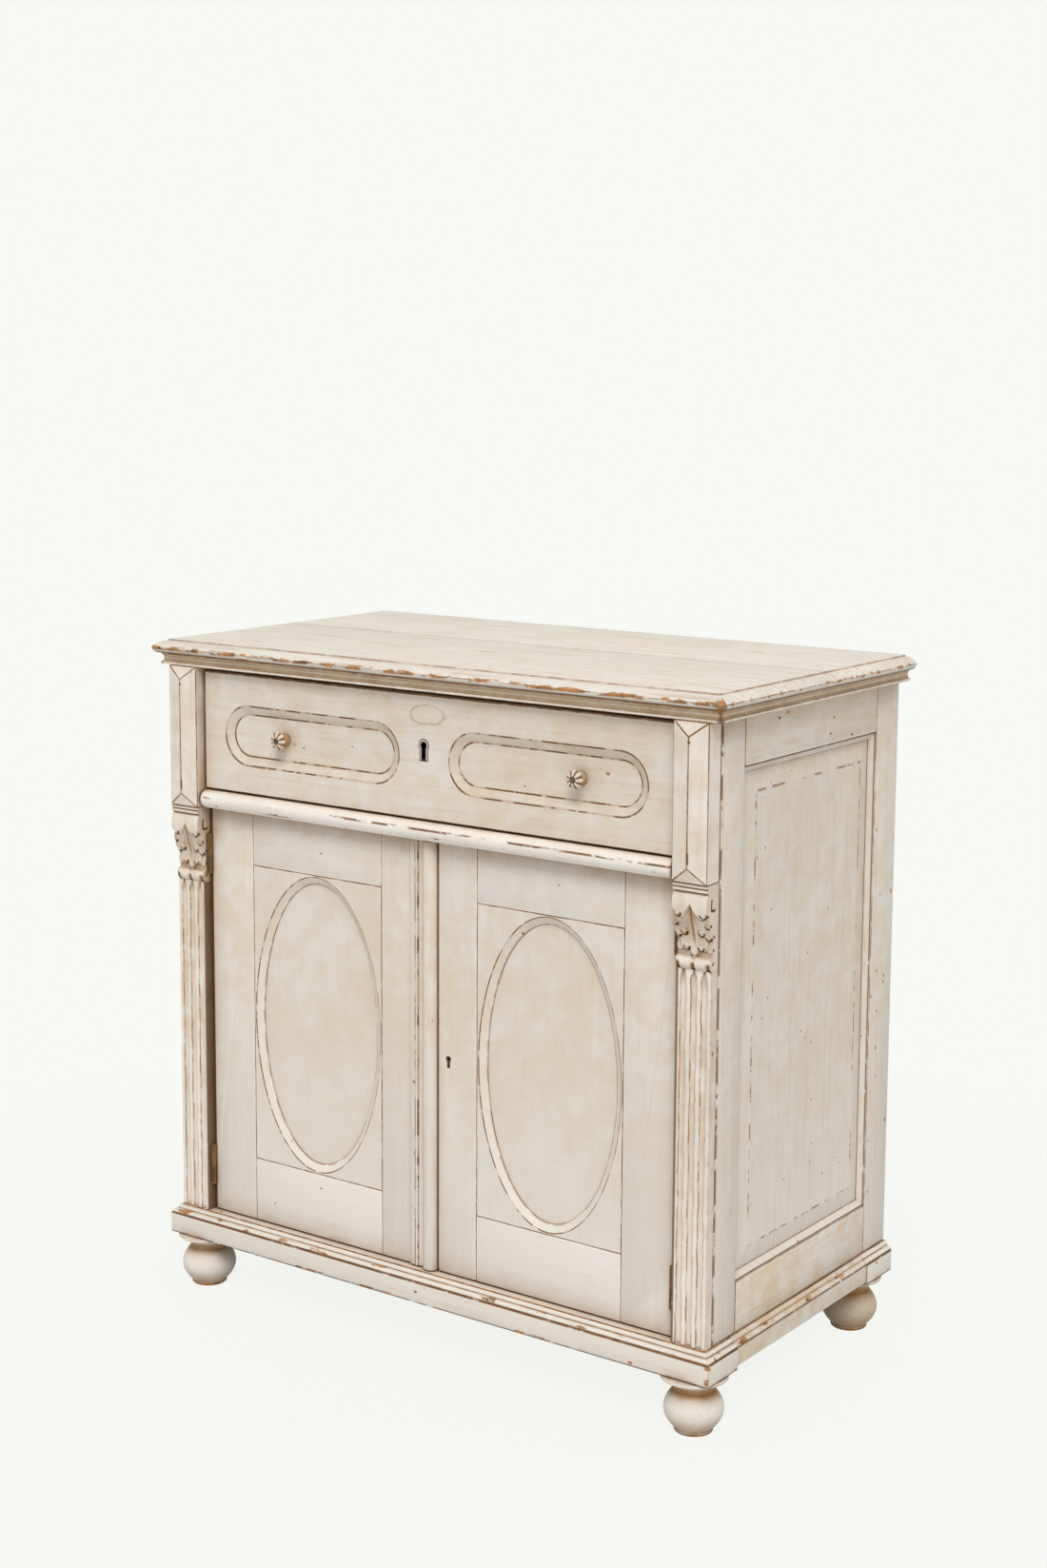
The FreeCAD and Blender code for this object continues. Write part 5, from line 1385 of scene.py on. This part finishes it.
@dataclass
class Plinth:
    """Beaded plinth rails and turned bun feet.

    Attributes:
        ease: rounding of the edges.
        sides: sides of a turned foot.
        foot_base: radius and height pairs of a foot's base, in millimetres, as all its profile.
        bun_top: radius and height where the bun ends.
        bun_bow: how far the bun swells.
        foot_neck: pairs of the neck over the bun.
        cove_top: radius and height where the cove over the neck ends.
        cove_bow: how far the cove is hollowed.
        foot_collar: pairs of the collar on top.
        collar: radius of a foot's collar.
        neck: height of a foot's neck.
        neck_shade_and_wax: how far the wax and painted shade under the collar spread up and down the neck.
        bead: rail's top down to the middle of its bead.
        groove: rail's top down to the groove under the bead.
        back_soiled_and_shaded: paint of the back feet, darker for dirt and for painted shade under the
            cupboard.
    """

    ease: float = 1.3 * MM
    sides: int = 72
    foot_base: Profile = ((0.0, 0.0), (25.5, 0.0), (26.5, 1.0), (26.8, 4.5), (26.2, 5.2))
    bun_top: Pair = (28.6, 57.5)
    bun_bow: float = 13.4
    foot_neck: Profile = ((27.6, 58.6), (27.8, 61.0))
    cove_top: Pair = (45.8, 75.2)
    cove_bow: float = -3.2
    foot_collar: Profile = ((46.4, 76.0), (46.5, 79.0), (46.0, 79.9), (0.0, 79.9))
    collar: float = 46.5 * MM
    neck: float = 62 * MM
    neck_shade_and_wax: float = 9 * MM
    bead: float = 9 * MM
    groove: float = 13 * MM
    back_soiled_and_shaded: Colour = tone(196, 181, 160)

    def build(self) -> None:
        """Dress the rails and turn the feet."""
        low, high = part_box("plinth_front_rail")
        bead, edge = rubbed_level(high.z - self.bead, 4 * MM, 0.5), rubbed_level(low.z + 2 * MM, 3 * MM, 0.5)
        corner = Rubbed((high.x, low.y, low.z), (high.x, low.y, high.z), 9 * MM, 0.55)
        grimy = rubbed_level(high.z - self.groove, 2.6 * MM, 0.42), rubbed_level(low.z, 3.5 * MM, 0.42)
        front = AgedPaint("paint_plinth_front", Grain.ALONG_X, shift=11.0, worn=(bead, edge, corner),
                          grimy=grimy, unbroken=0.4)
        # Painted shade and wax: the side rails take a darker, warmer copy of the front's paint.
        flank = replace(front, name="paint_plinth_side", grain=Grain.ALONG_Y, shift=11.5, unbroken=0.5,
                        warm=0.65, warm_low=1.0)
        for row in ("front", "back"):
            eased(f"plinth_{row}_rail", self.ease, front)
        for side in SIDES:
            eased(f"plinth_side_rail_{side}", self.ease, flank, stain=0.2)
        low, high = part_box("bun_feet")
        for row, y in (("front", low.y + self.collar), ("back", high.y - self.collar)):
            for side, x in (("left", low.x + self.collar), ("right", high.x - self.collar)):
                self.foot(f"{row}_{side}", Vector((x, y, low.z)))

    def foot(self, name: str, base: Vector) -> Piece:
        """Turn one bun foot.

        Args:
            name: which foot.
            base: middle of its base.

        Returns:
            The turned piece.
        """
        bun = bowed(self.foot_base[-1], self.bun_top, self.bun_bow, 26)
        cove = bowed(self.foot_neck[-1], self.cove_top, self.cove_bow, 12)
        work = spun([*self.foot_base, *bun, *self.foot_neck, *cove, *self.foot_collar], self.sides)
        stain_mark = work.verts.layers.float.new("stain")
        # Wax and painted shade on the neck, under the collar.
        for vert in work.verts:
            vert[stain_mark] = math.exp(-((vert.co.z - self.neck) / self.neck_shade_and_wax) ** 2)
        bmesh.ops.translate(work, verts=work.verts, vec=base)
        # Wear on the foot's base, and painted shade where it meets the floor.
        worn, grimy = rubbed_level(1 * MM, 5 * MM, 0.75), rubbed_level(0.0, 4 * MM, 0.5)
        paint = AgedPaint("paint_foot", Grain.ALONG_X, shift=12.0, warm=0.35, worn=(worn,), grimy=(grimy,))
        # Painted shade and dirt: the back feet are darker.
        if name.startswith("back"):
            paint = replace(paint, name="paint_back_foot", pale=self.back_soiled_and_shaded)
        piece = finished(work, f"bun_foot_{name}_turned", "carcass", paint, smooth=40.0)
        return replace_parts(piece, "bun_feet")


@dataclass
class Drawer:
    """Drawer front with sunk panels, its box, its knobs, keyhole rim and lock.

    Attributes:
        ease: rounding of the painted edges.
        sides: sides of a turned knob.
        knob_profile: radius and height pairs of a knob, in millimetres.
        screw_profile: those of the screw in its head.
        screw_sides: sides of that screw.
        flutes: hollows round a knob's head.
        flute_depth: depth of such a hollow as a share of the radius.
        neck: height of the head's underside above the drawer, in millimetres.
        eye: radius of the head's plain middle, in millimetres.
        knob_shade_and_wax: how much wax and painted shade lie on a knob's neck and in its hollows.
        mark: outline of an old plate over the keyhole.
    """

    ease: float = 2.1 * MM
    sides: int = 64
    knob_profile: Profile = (
        (0.0, 0.0), (9.5, 0.0), (10.0, 1.0), (9.6, 2.6), (7.0, 3.4), (6.0, 5.0), (5.6, 8.0), (6.2, 11.5),
        (9.0, 12.8), (12.6, 13.8), (13.8, 15.4), (13.6, 17.2), (11.8, 19.4), (8.6, 20.8), (5.0, 21.4),
        (4.2, 20.6), (0.0, 20.4))
    screw_profile: Profile = ((0.0, 19.8), (3.6, 19.8), (3.6, 20.9), (2.6, 21.7), (1.2, 22.0), (0.0, 22.0))
    screw_sides: int = 24
    flutes: int = 8
    flute_depth: float = 0.17
    neck: float = 12.5
    eye: float = 4.6
    knob_shade_and_wax: float = 0.6
    mark: OldMark = OldMark((6 * MM, 929 * MM), (31 * MM, 16 * MM))

    def build(self) -> None:
        """Dress the drawer and turn its knobs."""
        low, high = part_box("drawer_escutcheon")
        # Painted shade: the keyhole's walls and the keyhole in the brass rim are dark.
        keyhole = Rubbed((low.x, low.y + 1.2 * MM, low.z), (high.x, 1.0, high.z), 1.0 * MM, 1.0)
        middle, radius = (low.x + high.x) / 2, (high.x - low.x) / 2
        eye = rubbed_spot((middle, low.y, high.z - radius), 1.15 * radius, 1.0)
        slit = Rubbed((middle, low.y, low.z + 2 * MM), (middle, low.y, high.z - radius), 0.85 * radius, 1.0)
        # The face's dark colour is deepened for the painted shade in its keyhole.
        face = AgedPaint("paint_drawer_face", Grain.ALONG_X, shift=14.0, warm=0.34, wide_shade_and_wax=0.8,
                         marks=(self.mark,), grimy=(keyhole,), dark_wax_and_shade=tone(56, 36, 18))
        eased("drawer_front", self.ease, face, smooth=15.0, stain=0.15)
        for side in SIDES:
            eased(f"drawer_side_{side}", 0.5 * MM, PINE[Grain.ALONG_Y])
        eased("drawer_back", 0.5 * MM, PINE[Grain.ALONG_X])
        eased("drawer_bottom", 0.3 * MM, PINE[Grain.ALONG_X])
        rim = AgedPaint("paint_over_brass", Grain.ALONG_Z, shift=15.0, chips=0.0, lines=0.0, dark_wax_and_shade=KEYHOLE_SHADE,
                        grimy=(keyhole, eye, slit))
        dress(frame["nodes"]["drawer_escutcheon"], rim)
        dress(frame["nodes"]["drawer_lock"], IRON)
        low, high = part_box("drawer_knobs")
        radius = (high.z - low.z) / 2
        for side, x in (("left", low.x + radius), ("right", high.x - radius)):
            self.knob(side, Vector((x, high.y, low.z + radius)))

    def knob(self, side: str, seat: Vector) -> Piece:
        """Turn one knob with a fluted head and a screw in its middle.

        Args:
            side: left or right.
            seat: middle of its foot on the drawer.

        Returns:
            The knob.
        """
        work = spun(self.knob_profile, self.sides)
        stain_mark, edge_mark = work.verts.layers.float.new("stain"), work.verts.layers.float.new("edge")
        # Wax and painted shade on the neck under the head and in the head's hollows, with dark lines in those
        # hollows.
        for vert in work.verts:
            radius = math.hypot(vert.co.x, vert.co.y) / MM
            if vert.co.z < self.neck * MM:
                vert[stain_mark] = self.knob_shade_and_wax
            elif radius > self.eye:
                hollow = 0.5 - 0.5 * math.cos(self.flutes * math.atan2(vert.co.y, vert.co.x))
                share = 1 - self.flute_depth * hollow ** 2 * min(1.0, (radius - self.eye) / 5)
                vert.co.x *= share
                vert.co.y *= share
                vert[stain_mark], vert[edge_mark] = self.knob_shade_and_wax * hollow, hollow ** 3
            else:
                vert[edge_mark] = 0.8
        neck = rubbed_spot((seat.x, seat.y - 6 * MM, seat.z), 12 * MM, 0.25)
        paint = AgedPaint(f"paint_knob_{side}", Grain.ALONG_Y, shift=16.0, rim=2 * MM, unbroken=0.8,
                          worn=(neck,))
        piece = self.seated(work, f"drawer_knob_{side}_turned", seat, paint)
        screw = spun(self.screw_profile, self.screw_sides)
        self.seated(screw, f"drawer_knob_{side}_screw", seat, IRON)
        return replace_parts(piece, "drawer_knobs")

    @staticmethod
    def seated(work: Mesh, name: str, seat: Vector, finish: Finish) -> Piece:
        """Lay an upright turning forwards onto the drawer front.

        Args:
            work: the turned mesh, which is freed.
            name: the piece's name.
            seat: middle of its foot on the drawer.
            finish: what it is dressed in.

        Returns:
            The piece.
        """
        bmesh.ops.rotate(work, verts=work.verts, cent=(0, 0, 0), matrix=Matrix.Rotation(math.pi / 2, 3, "X"))
        bmesh.ops.translate(work, verts=work.verts, vec=seat)
        return finished(work, name, "drawer", finish, smooth=50.0)


@dataclass(frozen=True)
class OvalRing:
    """One ring of an oval frame's section, in millimetres.

    Attributes:
        inset: distance in from the board's rim, or from the oval that touches it.
        depth: depth behind the face.
        line: how dark a line is drawn along it, 0 to 1.
        wax: how much wax and painted shade lie on it; below 0 where the painted shade of wide corners is
            lessened.
        board: whether it follows the board's rim.
    """

    inset: float
    depth: float
    line: float = 0.0
    wax: float = 0.0
    board: bool = False

    def place(self, across: float, up: float, half: Vector) -> Pair:
        """Point of the ring from the frame's middle.

        Args:
            across: the point's place across on a circle of radius 1.
            up: its height there.
            half: half the board's size.

        Returns:
            Distance across and up.
        """
        share = 1 / max(abs(across), abs(up)) if self.board else 1.0
        return across * share * (half.x - self.inset * MM), up * share * (half.z - self.inset * MM)


@dataclass
class Doors:
    """Two doors with oval panels, the closing strip, the hinges and the lock.

    Attributes:
        ease: rounding of the edges.
        oval_sides: faces round an oval frame.
        oval_rings: rings of an oval frame, from the back of its board over the face into the opening.
        strip_lines: distance from the closing strip's left side and darkness of each line along its bead.
        level: pieces of each door whose grain lies.
        key_inset: closing edge to the middle of the right door's keyhole.
        key_radius: round of that keyhole.
        key_slot: middle of its round to the foot of its slot.
    """

    ease: float = 1.0 * MM
    oval_sides: int = 184
    # The rings at the foot of the bevel carry painted shade and wax; those on its slope carry less painted
    # shade.
    oval_rings: tuple[OvalRing, ...] = (
        OvalRing(0.0, 8.0, board=True), OvalRing(0.0, 0.7, line=0.8, board=True),
        OvalRing(0.8, 0.0, line=0.6, board=True), OvalRing(1.6, 0.0, board=True), OvalRing(1.7, 0.0),
        OvalRing(2.2, 0.2, line=1.0), OvalRing(3.0, 0.7, line=0.8), OvalRing(3.8, 1.2, wax=-0.3),
        OvalRing(12.4, 6.2, wax=-0.3), OvalRing(13.4, 6.8, line=0.5), OvalRing(14.0, 7.2, line=0.7, wax=0.2),
        OvalRing(14.0, 8.0, line=0.6, wax=0.3))
    strip_lines: Sequence[Pair] = ((9.0, 0.36), (14.0, 0.28), (23.5, 0.46))
    level: tuple[str, ...] = ("top_rail", "bottom_rail")
    key_inset: float = 17.5 * MM
    key_radius: float = 3.5 * MM
    key_slot: float = 11 * MM

    def build(self) -> None:
        """Dress both doors and their fittings."""
        rails = AgedPaint("paint_door_rails", Grain.ALONG_X, shift=0.5, lines=0.7, warm=0.18, streaks=0.15,
                          pale=tone(236, 232, 226))
        panels = AgedPaint("paint_door_panels", Grain.ALONG_Z, shift=6.0, streaks=0.1)
        for side, way in SIDES.items():
            low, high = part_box(f"{side}_door_hinge_stile")
            outer = high.x if way > 0 else low.x
            # Painted shade along the hinge stile's outer edge, in the gap beside the post.
            gap = rubbed_upright(outer, (low.z, high.z), 3.4 * MM, 0.9)
            stiles = AgedPaint(f"paint_stiles_{side}", Grain.ALONG_Z, shift=4.0 + way, lines=0.7,
                               streaks=0.15, grimy=(gap,))
            closing = self.key_stile(stiles) if side == "right" else stiles
            eased(f"{side}_door_hinge_stile", self.ease, stiles)
            eased(f"{side}_door_closing_stile", self.ease, closing)
            for stem in self.level:
                eased(f"{side}_door_{stem}", self.ease, rails)
            self.oval(side)
            dress(frame["nodes"][f"{side}_door_panel"], panels)
            dress(frame["nodes"][f"{side}_door_hinges"], GAP_SHADE_IRON)
        low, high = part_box("closing_strip")
        beads = tuple(rubbed_upright(low.x + across * MM, (low.z, high.z), 1.6 * MM, amount)
                      for across, amount in self.strip_lines)
        strip = AgedPaint("paint_strip", Grain.ALONG_Z, shift=18.0, rim=1.5 * MM, chips=0.0, grimy=beads)
        eased("closing_strip", 0.5 * MM, strip)
        dress(frame["nodes"]["right_door_lock"], IRON)

    def key_stile(self, paint: AgedPaint) -> AgedPaint:
        """Paint of the stile with the keyhole, with painted shade black in and round the hole.

        Args:
            paint: paint of the other stiles.

        Returns:
            The same paint with the painted shade of the keyhole.
        """
        low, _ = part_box("right_door_closing_stile")
        lock_low, lock_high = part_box("right_door_lock")
        x, z = low.x + self.key_inset, (lock_low.z + lock_high.z) / 2
        eye = Rubbed((x, low.y, z), (x, 1.0, z), 1.8 * self.key_radius, 1.0)
        slit = Rubbed((x, low.y, z - self.key_slot), (x, 1.0, z), self.key_radius, 1.0)
        return replace(paint, name="paint_key_stile", dark_wax_and_shade=KEYHOLE_SHADE, grimy=(eye, slit))

    def oval(self, side: str) -> Piece:
        """Flush board of one door with its bevelled oval opening, swept ring by ring.

        Args:
            side: left or right.

        Returns:
            The board.
        """
        low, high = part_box(f"{side}_door_oval_frame")
        middle, half = (low + high) / 2, (high - low) / 2
        work = bmesh.new()
        edge_mark, stain_mark = work.verts.layers.float.new("edge"), work.verts.layers.float.new("stain")
        circle = work.verts.layers.float_vector.new("circle")
        verts = bmesh.ops.create_circle(work, segments=self.oval_sides, radius=1.0)["verts"]
        edges = list(work.edges)
        for vert in verts:
            vert[circle] = vert.co
        for ring in (*self.oval_rings, self.oval_rings[0]):
            for vert in verts:
                across, up = ring.place(*vert[circle].xy, half)
                vert.co = Vector((middle.x + across, low.y + ring.depth * MM, middle.z + up))
                vert[edge_mark], vert[stain_mark] = ring.line, ring.wax
            grown = bmesh.ops.extrude_edge_only(work, edges=edges)["geom"]
            edges = [part for part in grown if isinstance(part, bmesh.types.BMEdge)]
            verts = [part for part in grown if isinstance(part, bmesh.types.BMVert)]
        bmesh.ops.delete(work, geom=verts, context="VERTS")
        bmesh.ops.remove_doubles(work, verts=work.verts, dist=0.001 * MM)
        bmesh.ops.recalc_face_normals(work, faces=work.faces)
        work.verts.layers.float_vector.remove(circle)
        paint = AgedPaint("paint_oval_frame", Grain.ALONG_Z, shift=19.0, chips=0.0, rim=3 * MM, streaks=0.15)
        piece = finished(work, f"{side}_door_oval_frame_swept", f"{side}_door", paint, smooth=20.0)
        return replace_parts(piece, f"{side}_door_oval_frame")


@dataclass
class Studio:
    """Pale floor, plain surroundings, soft light and the photograph's camera.

    Attributes:
        paper: colour of the floor and of all that is seen behind the cupboard.
        eye: where the camera stands.
        yaw: turn of the camera to the left, in degrees.
        pitch: how far it looks down, in degrees.
        roll: tilt of the picture, in degrees.
        focal: focal length in pixels of the 1100 by 1647 picture.
        axis_row: picture row that the camera points at.
        rows: rows of that picture.
        sensor: longer side of the camera's sensor in millimetres.
        board: colour of the floor as the light meets it.
        floor_half: half the floor's width.
        daylight: colour of the light.
        ambient: strength of the light from all round.
        sun: strength of the lamp.
        sun_from: where the lamp shines from.
        sun_spread: how soft its shadows are, in degrees.
    """

    paper: Colour = tone(248, 249, 244)
    eye: Point = (2.0224, -2.8180, 1.4182)
    yaw: float = 35.72
    pitch: float = 8.25
    roll: float = 0.33
    focal: float = 2515.4
    axis_row: float = 740.0
    rows: int = 1647
    sensor: float = 36.0
    board: Colour = (0.72, 0.72, 0.72, 1.0)
    floor_half: float = 14.0
    daylight: Colour = (1.0, 0.985, 0.96, 1.0)
    ambient: float = 0.51
    sun: float = 1.75
    sun_from: Point = (0.33, -0.52, 0.79)
    sun_spread: float = 28.0

    def build(self) -> None:
        """Set the stage, the light and the camera."""
        scene = bpy.context.scene
        scene.view_settings.view_transform = "Standard"
        self.surroundings(scene)
        self.floor()
        self.lamp()
        self.camera(scene)

    @staticmethod
    def seen(tree: bpy.types.NodeTree) -> Socket:
        """1 where a ray comes from the camera, a reflection or through glass.

        Args:
            tree: the nodes that ask.

        Returns:
            The mask's socket.
        """
        path = tree.nodes.new("ShaderNodeLightPath")
        total = path.outputs["Is Camera Ray"]
        for name in ("Is Glossy Ray", "Is Transmission Ray"):
            larger = tree.nodes.new("ShaderNodeMath")
            larger.operation = "MAXIMUM"
            tree.links.new(total, larger.inputs[0])
            tree.links.new(path.outputs[name], larger.inputs[1])
            total = larger.outputs[0]
        return total

    def surroundings(self, scene: bpy.types.Scene) -> None:
        """Even light from all round, seen as the paper colour.

        Args:
            scene: the scene that is lit.
        """
        world = bpy.data.worlds.new("studio")
        scene.world = world
        world.use_nodes = True
        tree = world.node_tree
        tree.nodes.clear()
        light, paper = tree.nodes.new("ShaderNodeBackground"), tree.nodes.new("ShaderNodeBackground")
        light.inputs["Color"].default_value = self.daylight
        light.inputs["Strength"].default_value = self.ambient
        paper.inputs["Color"].default_value = self.paper
        mix, output = tree.nodes.new("ShaderNodeMixShader"), tree.nodes.new("ShaderNodeOutputWorld")
        tree.links.new(self.seen(tree), mix.inputs[0])
        tree.links.new(light.outputs[0], mix.inputs[1])
        tree.links.new(paper.outputs[0], mix.inputs[2])
        tree.links.new(mix.outputs[0], output.inputs["Surface"])

    def floor(self) -> None:
        """Wide pale floor that takes the cupboard's shadow and fades into the paper."""
        work = bmesh.new()
        bmesh.ops.create_grid(work, x_segments=1, y_segments=1, size=self.floor_half)
        mesh = bpy.data.meshes.new("floor")
        work.to_mesh(mesh)
        work.free()
        plane = bpy.data.objects.new("floor", mesh)
        bpy.context.scene.collection.objects.link(plane)
        sheet = Sheet("floor_paper")
        tree = sheet.tree
        sheet.fill(sheet.shader, {"Base Color": self.board, "Roughness": 0.9, "Specular IOR Level": 0.1})
        glow = sheet.add("ShaderNodeEmission")
        glow.inputs["Color"].default_value = self.paper
        away = sheet.add("ShaderNodeVectorMath", operation="LENGTH")
        sheet.feed(away.inputs[0], sheet.place)
        plain = sheet.ramp(away.outputs["Value"], 0.3, 1.5)
        share = sheet.times(self.seen(tree), sheet.scaled(plain, 0.07, 0.93))
        mix = sheet.add("ShaderNodeMixShader")
        sheet.feed(mix.inputs[0], share)
        tree.links.new(sheet.shader.outputs["BSDF"], mix.inputs[1])
        tree.links.new(glow.outputs[0], mix.inputs[2])
        tree.links.new(mix.outputs[0], sheet.output.inputs["Surface"])
        mesh.materials.append(sheet.material)

    def lamp(self) -> None:
        """Broad light from above and in front."""
        data = bpy.data.lights.new("soft_window", "SUN")
        data.energy = self.sun
        data.angle = math.radians(self.sun_spread)
        data.color = self.daylight[:3]
        lamp = bpy.data.objects.new("soft_window", data)
        bpy.context.scene.collection.objects.link(lamp)
        lamp.rotation_euler = Vector(self.sun_from).to_track_quat("Z", "Y").to_euler()

    def camera(self, scene: bpy.types.Scene) -> None:
        """Camera at the photograph's place, angle and framing.

        Args:
            scene: the scene it looks at.
        """
        data = bpy.data.cameras.new("camera")
        data.sensor_width = self.sensor
        data.lens = self.sensor * self.focal / self.rows
        data.shift_y = -(self.rows / 2 - self.axis_row) / self.rows
        camera = bpy.data.objects.new("camera", data)
        scene.collection.objects.link(camera)
        camera.location = self.eye
        turn = Matrix.Identity(4)
        for angle, axis in ((self.yaw, "Z"), (90 - self.pitch, "X"), (self.roll, "Z")):
            turn = turn @ Matrix.Rotation(math.radians(angle), 4, axis)
        camera.rotation_euler = turn.to_euler()
        scene.camera = camera


def main() -> None:
    """Build every sub-assembly."""
    logging.basicConfig(level=logging.INFO, format="%(name)s: %(message)s")
    for assembly in (Top(), Carcass(), Pilasters(), Plinth(), Drawer(), Doors(), Studio()):
        assembly.build()
        LOG.info("%s done", type(assembly).__name__)


if __name__ == "__main__":
    main()
